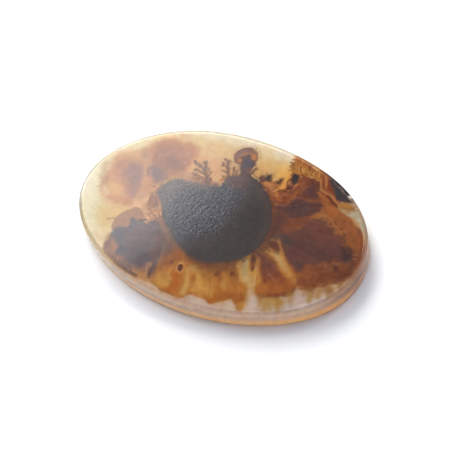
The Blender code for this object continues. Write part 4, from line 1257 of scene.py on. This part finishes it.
for color, line, thick in (
        ((70, 58, 54), [(6.6, -5.3), (7.2, -5.4)], 0.7), ((84, 62, 52), [(8.6, -3.6), (9.2, -3.8)], 0.8),
        ((76, 60, 56), [(9.6, 0.3), (10.3, 0.1)], 0.7), ((96, 56, 48), [(9.6, -2.2), (10.2, -2.4)], 0.5),
        ((100, 56, 44), [(11, -2.2), (11.6, -2.3)], 0.5)):
    streak(color, line, thick, 0.5, 0.65)
print("frayed edge painted")

# %% [markdown]
# Ferns
#
# Where the oxide grew thin it branched like frost. Each twig is a short line of a few points, thicker at
# its root, and the soot brush turns it into a tapering cord with a slightly knotty edge.

# %% List the fern twigs
FERN_BROWN = (102, 68, 46)
FERN_TWIGS = (           # root thickness, tip thickness, line
    (0.42, 0.22, [(-5.2, 5), (-5.8, 6), (-6.3, 6.7), (-6.9, 7.3), (-7.6, 7.8), (-8.5, 8.05), (-9.2, 8.3),
                  (-9.35, 8.55)]),
    (0.3, 0.34, [(-6.7, 7.3), (-7, 7.9), (-7.3, 8.4), (-7.55, 8.95)]),
    (0.22, 0.2, [(-7.3, 8.4), (-7.8, 8.75)]),
    (0.2, 0.16, [(-7.5, 8.8), (-7.95, 8.95)]),
    (0.24, 0.16, [(-6.2, 6.7), (-6.25, 7.4), (-6.5, 8.1)]),
    (0.24, 0.14, [(-5.9, 6.2), (-5.8, 6.8), (-5.8, 7.6)]),
    (0.26, 0.2, [(-6.5, 6.7), (-7.4, 6.9), (-8.1, 7), (-8.6, 6.95)]),
    (0.22, 0.16, [(-7.9, 7), (-8.35, 7.25)]),
    (0.24, 0.2, [(-6.3, 5.9), (-7.3, 6.1), (-8, 6), (-8.5, 6)]),
    (0.2, 0.14, [(-7.7, 6.1), (-8.1, 6.35), (-8.6, 6.35)]),
    (0.2, 0.14, [(-7, 5.5), (-7.6, 5.55), (-8.1, 5.4)]),
    (0.3, 0.2, [(-5.2, 5), (-5.2, 5.8), (-5.25, 6.35)]),
    (0.2, 0.14, [(-8.5, 8.05), (-8.9, 7.9)]),
    (0.36, 0.2, [(-2.6, 7.6), (-3, 8.3), (-3.4, 9), (-3.9, 9.8), (-4.1, 10.3), (-4.2, 10.6)]),
    (0.2, 0.16, [(-4, 10.1), (-4.4, 10.4), (-4.9, 10.65)]),
    (0.2, 0.14, [(-4.05, 10.3), (-3.8, 10.55)]),
    (0.22, 0.18, [(-3.5, 9.1), (-4.1, 9.35), (-4.6, 9.5), (-4.85, 9.85)]),
    (0.18, 0.14, [(-4.3, 9.45), (-4.75, 9.2)]),
    (0.2, 0.16, [(-2.9, 8.1), (-3.5, 8.4), (-4.2, 8.45)]),
    (0.2, 0.14, [(-3.3, 8.9), (-3.2, 9.2)]),
    (0.22, 0.16, [(-2.6, 7.3), (-3, 7.35), (-3.3, 7.3)]),
    (0.18, 0.14, [(-3.3, 7.5), (-3.65, 7.55)]),
    (0.26, 0.16, [(-2.1, 8.2), (-2.4, 9), (-2.7, 9.8)]),
    (0.2, 0.14, [(-2.45, 9.2), (-2.85, 9.5)]),
    (0.24, 0.14, [(-1.5, 8.4), (-1.8, 8.8), (-2.05, 9.2)]),
    (0.22, 0.18, [(0.5, 9.6), (0.7, 10.3), (0.75, 10.9)]),
    (0.18, 0.14, [(0.7, 10.5), (1.05, 10.75)]),
)
print(len(FERN_TWIGS), "twigs")

# %% Grow the ferns
stain((188, 132, 78), [(-9.8, 7.4), (-8.6, 9.6), (-6, 10), (-3, 10.8), (-1.6, 9.4), (-2.8, 6.4), (-6, 5),
    (-9.4, 5)], 1.6, 0.5, 0.6)
for thick, thin, line in FERN_TWIGS:
    streak((150, 98, 56), line, thick + 0.35, 0.4, 0.5, thin=thin + 0.35)
    soot(FERN_BROWN, line, thick * 1.3, thin * 1.35, ripple=0.13, size=0.22, soft=0.18)
for knot, size in (
        ((-9.25, 8.45), 0.36), ((-7.6, 8.75), 0.44), ((-7.1, 7.95), 0.36), ((-8.05, 7.75), 0.34),
        ((-8.5, 6.95), 0.34), ((-8.1, 6.1), 0.34), ((-5.25, 6.2), 0.36), ((-4.8, 10.6), 0.26),
        ((-4, 10.4), 0.28), ((-4.6, 9.5), 0.28), ((-3.6, 9.2), 0.28), ((-3.4, 6.8), 0.3)):
    soot((86, 48, 26), [knot, (knot[0] + 0.05, knot[1])], size, size, ripple=0.06, size=0.2)
tufts((128, 76, 44), [(-9, 8.2), (-7.9, 7.9), (-6.9, 7.2), (-6.1, 6.4), (-5.5, 5.4)], 0.5, 0.18, 0.4, 0.6,
    seed=54, lean=0.5)
tufts((128, 76, 44), [(-3.9, 9.9), (-3.5, 9.1), (-3, 8.3), (-2.6, 7.5)], 0.45, 0.18, 0.4, 0.6, seed=55,
    lean=0.5)
specks((118, 66, 38), [(-9, 8.6), (-7.4, 9.2), (-5.4, 7.4), (-4.8, 5.4), (-8.6, 5.2)], 22, 0.16, 0.5,
    seed=56)
stain((186, 116, 52), [(-7.8, 5.9), (-7, 6.2), (-6.4, 5.7), (-6.8, 5.4), (-7.6, 5.5)], 0.5, 0.2, 0.6)
stain((184, 114, 46), [(-3.7, 7.1), (-3.2, 7.3), (-2.8, 6.9), (-3.2, 6.4), (-3.7, 6.6)], 0.4, 0.2, 0.7)
stain((128, 82, 70), [(-6.2, 5.2), (-5.9, 6.1), (-5.2, 6.3), (-4.6, 5.9), (-3.6, 6), (-3.6, 5.4), (-5, 5)],
    0.5, 0.2, 0.8, size=0.4)
print("ferns grown")

# %% [markdown]
# The capped column
#
# One growth stands up from the blot towards the back rim: a grey-violet column under a round brown cap,
# with a darker border and a thin bright crescent inside it.

# %% Grow the column and its cap
streak((168, 114, 60), [(-4.1, 11.7), (-4, 12.9), (-3.4, 13.8), (-2.4, 14.35), (-1.5, 14.5), (-0.5, 14.15),
    (0.25, 13.4), (0.4, 12.4)], 0.35, 0.5, 0.4)
stain((124, 76, 48), [(-3.85, 12), (-3.7, 12.75), (-3.2, 13.5), (-2.5, 14), (-1.7, 14.2), (-0.8, 13.95),
    (-0.2, 13.4), (0.1, 12.7), (0.25, 12.1), (0.1, 11.4), (-1.4, 11), (-2, 10.6), (-2.9, 10.55),
    (-3.5, 11.1)], 0.25, 0.1, size=0.4)
streak((92, 50, 22), [(-3.1, 11), (-3.6, 11.6), (-3.6, 12.4), (-3.3, 13), (-2.6, 13.7), (-1.6, 14),
    (-0.8, 13.75), (-0.2, 13.2), (0.1, 12.4)], 0.35, 0.3, 0.45, thin=0.25)
streak((112, 74, 66), [(-3.2, 11.6), (-3.2, 12.4), (-2.8, 13.1), (-2, 13.5), (-1.2, 13.5)], 0.45, 0.35, 0.7,
    thin=0.35)
streak((168, 116, 66), [(-2.7, 11.9), (-2.65, 12.4), (-2.1, 12.85), (-1.4, 13.1), (-0.8, 12.9)], 0.16, 0.2,
    0.55, thin=0.2)
stain((174, 110, 48), [(-0.9, 13.1), (-0.4, 13.2), (-0.05, 12.5), (-0.3, 12.1), (-0.9, 12.5)], 0.35, 0.2,
    0.8)
stain((172, 112, 54), [(-2.9, 11.3), (-2.4, 11.5), (-2.1, 11.1), (-2.6, 10.9)], 0.35, 0.2, 0.7)
stain((82, 56, 52), [(-1.05, 8), (-1.3, 9.2), (-1.85, 10.4), (-2.1, 11.2), (-2.15, 11.9), (-1.9, 12.3),
    (-1.5, 12.65), (-1.1, 12.4), (-0.6, 12), (0.1, 11.8), (0.4, 11.3), (0.2, 10.4), (0.4, 9.6), (1.1, 8.8)],
    0.28, 0.1, size=0.4)
stain((66, 56, 64), [(-1.7, 10.9), (-1.9, 11.9), (-1.3, 12), (-0.5, 11.6), (0, 11.2), (-0.2, 10.6),
    (-0.9, 10.1), (-1.3, 10.1)], 0.5, 0.15, 0.9)
stain((108, 70, 54), [(-0.3, 10.6), (0.25, 10.4), (0.3, 9.4), (-0.2, 9.6)], 0.4, 0.2, 0.8)
streak((98, 62, 40), [(-2.1, 10.9), (-1.8, 10.2), (-1.4, 9.4)], 0.2, 0.2, 0.8)
for knot, size, color in (
        ((-2.35, 11.95), 0.5, (72, 30, 18)), ((-1.5, 12.6), 0.5, (62, 38, 32)),
        ((-0.25, 11.95), 0.42, (84, 48, 36)), ((0.35, 11.35), 0.34, (88, 66, 58)),
        ((-3.5, 12.8), 0.3, (84, 44, 22)), ((-0.7, 13.5), 0.3, (100, 50, 22)),
        ((-0.15, 12.7), 0.3, (116, 62, 30)), ((-2, 13.35), 0.25, (92, 48, 30))):
    streak(color, [knot, (knot[0] + 0.05, knot[1])], size, 0.3, 0.85)
for tip in ([(-1, 14.1), (-1.1, 14.6)], [(-0.4, 13.6), (-0.2, 14.1)], [(-0.8, 14), (-0.9, 14.35)]):
    streak((140, 98, 46), tip, 0.25, 0.3, 0.65, thin=0.15)
streak((108, 66, 52), [(-2.3, 10.6), (-1.95, 9.8), (-1.55, 9)], 0.35, 0.3, 0.6)
streak((118, 70, 52), [(0.5, 10.3), (1, 9.6), (1.9, 9.25)], 0.35, 0.3, 0.6)
print("column grown")

# %% [markdown]
# Islands
#
# Four small clots float free of the blot in front of the fan. Each gets a rusty halo first and then its
# soot, as the iron crept a little further into the stone than the dark oxide did.

# %% Float the islands
ISLANDS = (              # colour, outline
    ((64, 48, 40), [(2.9, 9.5), (3, 10), (3.2, 10.4), (3.6, 10.6), (3.9, 10.3), (3.9, 9.9), (4.15, 9.6),
                    (3.8, 9.3), (3.3, 9.3)]),
    ((84, 54, 46), [(2.1, 9.4), (2.2, 9.9), (2.7, 10), (3.1, 9.7), (3.3, 9.4), (3.1, 9), (2.6, 8.95)]),
    ((62, 50, 47), [(7.05, 12.2), (6.9, 11.9), (7.1, 11.5), (7.05, 11.1), (7.1, 10.7), (7.6, 10.4),
                    (8, 10.35), (8.3, 10.8), (8.2, 11.4), (8, 12), (7.5, 12.3)]),
    ((88, 56, 34), [(4.95, 9.6), (5.25, 9.95), (5.4, 10.45), (5.7, 10.65), (5.95, 10.1), (5.85, 9.5),
                    (5.3, 9.4)]),
)
for color, outline in ISLANDS:
    stain((140, 82, 42), outline, 1, 0.3, 0.75, size=0.4)
    soot(color, outline, ripple=0.22, size=0.3, soft=0.26)
streak((140, 84, 66), [(2.5, 9.8), (2.75, 9.4)], 0.25, 0.3, 0.6, on=ink)
for line in (
        [(6.9, 12.2), (6.6, 12.6)], [(6.95, 11.6), (6.5, 11.8)], [(7.1, 10.9), (6.7, 10.7)],
        [(8.2, 11.7), (8.6, 12)], [(7.9, 10.4), (8.2, 9.9)], [(3, 10.3), (2.8, 10.8)],
        [(5.8, 10.5), (6.1, 10.9)]):
    streak((96, 60, 40), line, 0.3, 0.25, 0.7, thin=0.1)
print(len(ISLANDS), "islands")

# %% [markdown]
# The rim
#
# Outside the markings the body shows through to the edge. The bevel and the wall are seen edge on, and
# their colours are partly the body's own and partly painted light that travelled through the stone: ivory
# at the left, pink in front, and a painted orange glow low down where the light from the far side comes
# out.

# %% Colour the rim
# the bevel and wall colours hold painted light from inside the stone; the last colour is the painted orange
# glow of the low wall
RIM_TINTS = (            # degrees (0 right, 90 back, 270 front), colour of bevel, wall and low wall
    (0, (166, 136, 120), (138, 108, 92), (204, 156, 122)),
    (8, (172, 142, 126), (142, 120, 106), (200, 162, 136)),
    (15, (168, 138, 120), (160, 130, 110), (220, 184, 144)),
    (23, (148, 124, 102), (160, 136, 108), (206, 180, 140)),
    (38, (158, 136, 110), (160, 136, 108), (206, 180, 140)),
    (43, (146, 126, 102), (140, 120, 100), (206, 180, 140)),
    (46, (36, 31, 32), (130, 112, 96), (206, 180, 140)),
    (54, (38, 32, 32), (130, 112, 96), (206, 180, 140)),
    (59, (92, 62, 46), (140, 118, 96), (206, 180, 140)),
    (63, (112, 80, 54), (150, 128, 100), (206, 180, 140)),
    (68, (152, 122, 86), (170, 150, 120), (206, 180, 140)),
    (76, (144, 114, 78), (174, 160, 134), (206, 180, 140)),
    (79, (176, 168, 144), (178, 168, 142), (214, 200, 168)),
    (110, (164, 165, 156), (178, 168, 142), (214, 200, 168)),
    (135, (140, 143, 138), (186, 178, 156), (224, 212, 184)),
    (165, (136, 139, 134), (196, 190, 172), (228, 216, 190)),
    (190, (134, 137, 132), (214, 208, 190), (230, 218, 192)),
    (210, (166, 156, 130), (234, 222, 198), (244, 226, 200)),
    (225, (206, 188, 164), (220, 208, 192), (250, 220, 186)),
    (240, (206, 188, 166), (196, 180, 166), (246, 208, 166)),
    (250, (202, 180, 160), (188, 168, 150), (255, 204, 146)),
    (285, (200, 178, 160), (190, 166, 146), (255, 206, 146)),
    (298, (198, 178, 160), (190, 166, 146), (255, 206, 144)),
    (325, (196, 176, 158), (190, 168, 148), (255, 200, 126)),
    (342, (180, 152, 132), (154, 126, 106), (240, 178, 110)),
    (354, (154, 124, 108), (132, 102, 86), (190, 144, 112)),
    (360, (166, 136, 120), (138, 108, 92), (204, 156, 122)),
)
heading = np.degrees(np.arctan2(spots[:, 1] / HALF_WIDE, spots[:, 0] / HALF_LONG)) % 360
stops = [stop[0] for stop in RIM_TINTS]
bevel_tint, wall_tint, painted_glow_tint = (
    np.stack([np.interp(heading, stops, [rgb(*stop[part])[channel] for stop in RIM_TINTS])
              for channel in range(3)], -1)
    for part in (1, 2, 3))
fallen = THICKNESS - points[:, 2]
on_bevel = smooth(fallen / BEVEL_DROP) * (1 - underside)
on_wall = smooth((fallen - BEVEL_DROP * 0.9) / 0.15)
# painted light: the low wall's orange glow, laid on from 1.3 mm below the face downwards
painted_glow_share = smooth((fallen - 1.3) / 1.2)
coat += (bevel_tint - coat) * (0.9 * smooth(fallen / BEVEL_DROP * 1.6) * (1 - underside))[:, None]
to_foot = on_wall * smooth(points[:, 2] / 0.06)
coat += (wall_tint + (painted_glow_tint - wall_tint) * painted_glow_share[:, None] - coat) * (0.85 * to_foot)[:, None]
soot_depth = np.where(on_wall > 0.5, OUTSIDE, soot_depth)
print("rim points", int((on_wall > 0).sum()))

# %% [markdown]
# Fine marks
#
# A real stone isn't perfect: a few hairline scratches cross the blot, a small nick sits in the front edge
# and the small chip by the oval gets a painted white glint. Where the oxide lies thick it is marked as
# pitted: real pits in its relief and painted glints in its colour.

# %% Draw the fine marks
# a tan line of painted shade along the left end, where the face meets the bevel and the edge shows dark
streak((176, 158, 120), [(-24.1, -1.5), (-23.3, -4.6), (-21.7, -7.6), (-19.5, -10.2), (-17.2, -12.1),
    (-15.4, -13.2)], 0.3, 0.25, 0.5)
streak((150, 120, 80), [(-12.4, 13.9), (-10, 14.7), (-6, 15.35), (-1, 15.75), (3, 15.7)], 0.14, 0.2, 0.45)
for line in (
        [(4.2, -3.7), (5, -2.7), (5.8, -1.6)], [(4.5, -3.9), (5.2, -3.1)], [(-0.9, -3.4), (0.4, -2.6)]):
    streak((92, 86, 82), line, 0.12, 0.15, 0.5, thin=0.08, on=ink)
nick = nearby([(3.6, -16.3), (5.6, -15.6)], 0.4)
nick_line, NICK_DROP, NICK_HEIGHT = [(4.1, -16.1), (4.7, -16.1), (5.2, -16)], 0.72, 0.22
nick_share = smooth(depth_in_cord(spots[nick], nick_line, 0.5, 0.5) / 0.2 + 0.5)
nick_share *= np.exp(-((fallen[nick] - NICK_DROP) / NICK_HEIGHT) ** 2)
blend(coat, nick, (84, 60, 48), 0.8 * nick_share)
# painted highlight: a white glint on the small chip at the back of the bevel
streak((246, 238, 228), [(17.2, 11.5), (17.55, 11.35)], 0.42, 0.2, 0.95, thin=0.3)
# the pitted mask carries both real pits, in the relief, and painted glints, in the colour
pits_and_glints = np.zeros((len(spots), 3))
stain((255, 255, 255), [(-12.4, 1.4), (-11, 3.6), (-9.4, 4.8), (-6, 5.3), (-3, 6.4), (0, 6.8), (1.4, 5),
    (1.8, 1.5), (1.3, -2.2), (0, -4), (-3, -4.8), (-6, -5), (-8.5, -3.6), (-11, -0.8)], 5, 1.8, size=0.8,
    patchy=0.35, on=pits_and_glints)
pits_and_glints = pits_and_glints[:, 0] * (1 - underside) * (1 - on_wall)
print("pitted points", int((pits_and_glints > 0.5).sum()))

# %% [markdown]
# A last glaze
#
# A painter ends with thin glazes: large soft strokes that calm what came out too bright. Here each one is a
# line, its width, a colour and how much of it is laid on.

# %% Glaze the bright places
GLAZES = (               # colour, line, width, strength
    ((190, 177, 132), [(-23.2, 4.2), (-23.2, 1), (-22.8, -2.6), (-21.7, -5.4), (-20.1, -8),
                       (-18.4, -9.8)], 2, 0.5),
    ((194, 175, 126), [(-20.6, 7.2), (-19.2, 8.8), (-17.6, 10.2)], 1.2, 0.5),
    ((184, 150, 92), [(-13.4, 11.8), (-12.2, 12.5), (-10.6, 12.7)], 1.4, 0.55),
    ((206, 172, 112), [(-0.4, 14.5), (1.4, 14.5)], 1.6, 0.45),
    ((150, 100, 70), [(-10, 5.3), (-8.9, 5.5)], 1.2, 0.7),
    ((110, 76, 60), [(-7.4, 5.3), (-6.3, 5.5)], 0.9, 0.6),
    ((156, 106, 74), [(-14.4, -1), (-13.7, -0.2)], 1.2, 0.7),
    ((104, 64, 44), [(-5.2, -12), (-4.9, -13.4)], 0.9, 0.4),
    ((78, 44, 36), [(-5.9, -12.8), (-5.5, -13.8)], 0.4, 0.5),
    ((136, 84, 32), [(-4.4, -11.4), (-3.8, -12.6)], 1, 0.4),
    ((146, 98, 36), [(-6, -14.5), (-4, -14.6)], 0.7, 0.4),
    ((92, 64, 56), [(-7.6, -11.7), (-6.9, -12.2)], 0.8, 0.6),
    ((86, 62, 52), [(-10.9, -13.2), (-9.6, -13.3), (-8, -13.1)], 0.9, 0.55),
    ((128, 76, 28), [(2.6, -10.2), (3.8, -10.6)], 1.2, 0.4),
    ((108, 60, 30), [(4.6, -9.2), (5.5, -9.6)], 1, 0.4),
    ((142, 98, 54), [(18.5, 9.05), (19.1, 9.4)], 0.8, 0.9),
    ((76, 46, 36), [(16.6, 10.2), (17.9, 10.4)], 0.5, 0.5),
    ((112, 54, 28), [(13.4, 11.3), (14.2, 10.7)], 0.6, 0.5),
    ((178, 104, 58), [(6.2, 7.5), (7, 6.9)], 0.8, 0.5),
    ((106, 62, 36), [(23.3, -2.6), (23.1, -3.8)], 0.8, 0.45),
    ((124, 78, 36), [(20.6, -5.2), (22.4, -5.4)], 1.1, 0.45),
    ((112, 56, 30), [(18.8, -6.2), (19.5, -6.4)], 0.7, 0.55),
    ((150, 106, 72), [(17.6, -7.3), (18, -7.7)], 0.8, 0.4),
    ((160, 126, 104), [(17.9, -9.4), (18.6, -9)], 1.2, 0.4),
    ((160, 118, 70), [(6.8, -14), (7.6, -13.8)], 1, 0.35),
    ((186, 152, 96), [(-17.6, -9.9), (-16.2, -10.7)], 1, 0.6),
    ((126, 76, 36), [(11.7, -10.2), (12.8, -10.5)], 0.8, 0.45),
    ((76, 40, 32), [(19.9, -0.2), (20.9, -0.1)], 0.8, 0.5),
    ((96, 62, 32), [(3.4, 10.3), (4.1, 10.6)], 0.7, 0.45),
    ((138, 80, 20), [(3.4, -13.2), (4.6, -13.5)], 0.9, 0.4),
    ((120, 84, 50), [(7, -5.9), (7.4, -6.6)], 0.7, 0.5),
    ((144, 88, 32), [(-3.2, -12.8), (-2.2, -13.2)], 0.8, 0.4),
    ((148, 120, 84), [(16.8, -10.8), (17.8, -10.2)], 1, 0.45),
    ((142, 88, 30), [(0.9, -14.9), (1.9, -15.1)], 0.8, 0.45),
    ((110, 62, 40), [(-7.6, -12.9), (-6.8, -13.2)], 0.7, 0.5),
    ((142, 88, 26), [(9.5, -9), (10, -9.8)], 0.6, 0.4),
    ((168, 126, 84), [(-22.9, 2.7), (-22.6, 1.4)], 1, 0.6),
    ((108, 80, 66), [(-4.2, 9.9), (-3.7, 10.1)], 0.7, 0.45),
    ((112, 74, 56), [(-5.6, -10.2), (-5.3, -11)], 0.8, 0.5),
    ((80, 60, 58), [(-5.9, -7.6), (-5.7, -8.5)], 0.7, 0.5),
    ((104, 56, 30), [(16.1, -8.2), (16.7, -7.8)], 0.7, 0.5),
    ((118, 66, 24), [(10.2, -11), (10.6, -11.8)], 0.8, 0.45),
)
for color, line, thick, strength in GLAZES:
    streak(color, line, thick, 1.2, strength)
print(len(GLAZES), "glazes")

# %% [markdown]
# The skin
#
# All points are in place, so the skin can be joined: squares on the face, bands between the rings, and a
# fan at the middle of the back. The dark oxide is softer than agate and polishes into tiny pits, so the
# points there sink and rise by a few thousandths of a millimetre, and the face drifts a little too.

# %% Join the skin
PIT_DEPTH, PIT_SIZE = 0.0015, 0.30
FACE_DRIFT, DRIFT_SIZE = 0.0015, 6
x, y = spots.T
on_face = (points[:, 2] > THICKNESS - 1e-4).astype(float)
pits = noise(x / PIT_SIZE, y / (PIT_SIZE * 1.5), 31, octaves=1)
points[:, 2] -= pits_and_glints * PIT_DEPTH * (1 + pits) * on_face
drift = noise(x / DRIFT_SIZE, y / DRIFT_SIZE, 41, octaves=2)
points[:, 2] -= FACE_DRIFT * (1 + drift) * on_face

face_quads = np.stack([grid_index[:-1, :-1], grid_index[:-1, 1:],
                       grid_index[1:, 1:], grid_index[1:, :-1]], -1).reshape(-1, 4)
around = len(rim_index)
starts = reach.size + around * np.arange(len(levels))
loops = [rim_index] + [start + np.arange(around) for start in starts]
bands = [np.stack([upper, lower, np.roll(lower, -1), np.roll(upper, -1)], -1)
         for upper, lower in zip(loops[:-1], loops[1:])]
quads = np.concatenate([face_quads] + bands)
fan = np.stack([loops[-1], np.full(around, len(points) - 1), np.roll(loops[-1], -1)], -1)
skin = bpy.data.meshes.new("polished_agate")
skin.from_pydata((points * MM).tolist(), [], quads.tolist() + fan.tolist())
skin.shade_smooth()
print("triangles", 2 * len(quads) + len(fan), "repairs needed:", skin.validate())

# %% [markdown]
# The paint on the skin
#
# Every layer becomes a named attribute with one value per point. The shader can read these by name, so
# the look belongs to the mesh itself and needs no image and no unwrapping.

# %% Store the paint on the skin
def store(name, kind, field, values):
    """Write one number or colour per point into a named layer of the skin."""
    layer = skin.attributes.new(name, kind, "POINT")
    layer.data.foreach_set(field, np.ascontiguousarray(values, dtype=np.float32).ravel())


opaque = np.ones((len(points), 1))
store("stain", "FLOAT_COLOR", "color", np.hstack([np.clip(coat, 0, 1), opaque]))
store("ink", "FLOAT_COLOR", "color", np.hstack([np.clip(ink, 0, 1), opaque]))
store("soot", "FLOAT", "value", soot_depth)
store("soot_crisp", "FLOAT", "value", soot_crisp)
store("pits_and_glints", "FLOAT", "value", pits_and_glints)
store("ground_rim", "FLOAT", "value", np.maximum(on_wall, 0.5 * on_bevel))

stone = bpy.data.objects.new("polished_agate", skin)
bpy.context.collection.objects.link(stone)
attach(stone, "root")
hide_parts("agate_slab")
print("layers", [layer.name for layer in skin.attributes])

# %% [markdown]
# The agate
#
# Agate is hard and takes a glassy polish, and it is translucent: light goes in, wanders a couple of
# millimetres and comes out again, red further than blue. The shader reads the painted layers, cuts the
# soot's edge with fine noise, and adds the grain that is too small for the skin's points: a faint
# mottle, painted glints brightening the colour of the pitted oxide, worm-like pits in its relief, a breath
# of polishing marks and a satin, ground wall.

# %% Mix the agate
agate = bpy.data.materials.new("dendritic agate")
agate.use_nodes = True
tree = agate.node_tree
shader = tree.nodes["Principled BSDF"]


def add(kind, **settings):
    """Add a node: `settings` are its own options; a key that starts with "in_" sets an input by name."""
    node = tree.nodes.new(kind)
    for key, value in settings.items():
        if key.startswith("in_"):
            node.inputs[key[3:].replace("_", " ")].default_value = value
        else:
            setattr(node, key, value)
    return node


def layer(name):
    """The painted layer of that name."""
    return add("ShaderNodeAttribute", attribute_name=name)


def math_node(operation, a, b):
    """One sum on two values, each a socket or a number."""
    node = add("ShaderNodeMath", operation=operation)
    for socket, value in zip(node.inputs, (a, b)):
        if isinstance(value, (int, float)):
            socket.default_value = value
        else:
            tree.links.new(value, socket)
    return node.outputs[0]


def remap(value, from_low, from_high, to_low, to_high, soft=True):
    """Carry a range of values to another range, softly at its ends."""
    node = add("ShaderNodeMapRange", interpolation_type="SMOOTHSTEP" if soft else "LINEAR")
    tree.links.new(value, node.inputs["Value"])
    for name, number in (("From Min", from_low), ("From Max", from_high),
                         ("To Min", to_low), ("To Max", to_high)):
        node.inputs[name].default_value = number
    return node.outputs[0]


where = add("ShaderNodeTexCoord").outputs["Object"]
MIX_SOCKETS = {"FLOAT": (2, 0), "RGBA": (6, 2)}      # the Mix node's first input and its output


def grain(size_mm, detail=2.0, roughness=0.5, stretch=None):
    """Noise whose features measure about size_mm on the stone; stretch scales the place it is read at."""
    node = add("ShaderNodeTexNoise", in_Scale=1000.0 / size_mm, in_Detail=detail, in_Roughness=roughness)
    place = where
    if stretch is not None:
        mapping = add("ShaderNodeMapping", in_Scale=stretch)
        tree.links.new(where, mapping.inputs["Vector"])
        place = mapping.outputs[0]
    tree.links.new(place, node.inputs["Vector"])
    return node.outputs["Fac"]


def mix(kind, share, a, b):
    """Blend two sockets, numbers ("FLOAT") or colours ("RGBA"), by a share."""
    node = add("ShaderNodeMix", data_type=kind)
    first, result = MIX_SOCKETS[kind]
    for socket, source in ((0, share), (first, a), (first + 1, b)):
        tree.links.new(source, node.inputs[socket])
    return node.outputs[result]


print("shader helpers ready")

# %% Colour it
soot_layer, crisp_layer = layer("soot").outputs["Fac"], layer("soot_crisp").outputs["Fac"]
pits_and_glints_layer, rim_layer = layer("pits_and_glints").outputs["Fac"], layer("ground_rim").outputs["Fac"]
FRAY_SIZE = 0.35
fray = math_node("MULTIPLY", remap(grain(FRAY_SIZE, 2.0), 0.3, 0.7, -SOOT_EDGE, SOOT_EDGE, soft=False),
                 crisp_layer)
frayed = math_node("ADD", soot_layer, fray)
soot_share = remap(frayed, -SOOT_EDGE, SOOT_EDGE, 0.0, 1.0)
base = mix("RGBA", soot_share, layer("stain").outputs["Color"], layer("ink").outputs["Color"])

shade = add("ShaderNodeHueSaturation")
tree.links.new(base, shade.inputs["Color"])
# the specks in the oxide are painted glints: bright spots laid into the colour of the pitted oxide
COARSE, FINE, GLINT_SIZE = 1.1, 0.3, 0.27     # sizes of the mottle and of the specks in the oxide, mm
PAINTED_GLINT_GAIN = 0.85
mottle = math_node("MULTIPLY", remap(grain(COARSE, 4.0, 0.6), 0.3, 0.7, 0.90, 1.10, soft=False),
                   remap(grain(FINE, 2.0), 0.3, 0.7, 0.95, 1.05, soft=False))
# painted highlight: glints that brighten the colour of the pitted oxide in small spots
speck = remap(grain(GLINT_SIZE, 1.0, 0.5, stretch=(1.0, 0.65, 1.0)), 0.42, 0.70, -0.25, 1.15)
painted_glints = math_node("MULTIPLY", math_node("MULTIPLY", speck, pits_and_glints_layer), PAINTED_GLINT_GAIN)
value = math_node("MULTIPLY", mottle, math_node("ADD", 1.0, painted_glints))
tree.links.new(value, shade.inputs["Value"])
tree.links.new(shade.outputs["Color"], shader.inputs["Base Color"])
print("colour linked")

# %% Polish it
GLASSY, SATIN = (0.045, 0.075), (0.20, 0.26)      # least and most roughness of the face and of the rim
WORM_HEIGHT, GROUND_HEIGHT, POLISH_HEIGHT = 0.006, 0.0010, 0.0035      # mm
AGATE_IOR = 1.54
GLOW, GLOW_REACH, GLOW_COLORS = 0.7, 2.5, (1.0, 0.55, 0.3)      # light inside: share, mm, red to blue
smudge = remap(grain(5.0, 3.0), 0.35, 0.7, *GLASSY)
satin = remap(grain(0.6, 2.0), 0.3, 0.7, *SATIN)
tree.links.new(mix("FLOAT", rim_layer, smudge, satin), shader.inputs["Roughness"])

worms = math_node("MULTIPLY", grain(0.33, 2.0, 0.5, stretch=(1.0, 0.55, 1.0)),
                  math_node("MULTIPLY", pits_and_glints_layer, WORM_HEIGHT))
ground = math_node("MULTIPLY", grain(0.5, 2.0, 0.5), math_node("MULTIPLY", rim_layer, GROUND_HEIGHT))
polish = math_node("MULTIPLY", grain(2.5, 2.0), POLISH_HEIGHT)
relief = math_node("ADD", math_node("ADD", worms, ground), polish)
bump = add("ShaderNodeBump", in_Strength=1.0, in_Distance=MM)
tree.links.new(relief, bump.inputs["Height"])
tree.links.new(bump.outputs["Normal"], shader.inputs["Normal"])
shader.inputs["IOR"].default_value = AGATE_IOR
shader.inputs["Subsurface Weight"].default_value = GLOW
shader.inputs["Subsurface Radius"].default_value = GLOW_COLORS
shader.inputs["Subsurface Scale"].default_value = GLOW_REACH * MM
skin.materials.append(agate)
print("finish linked")
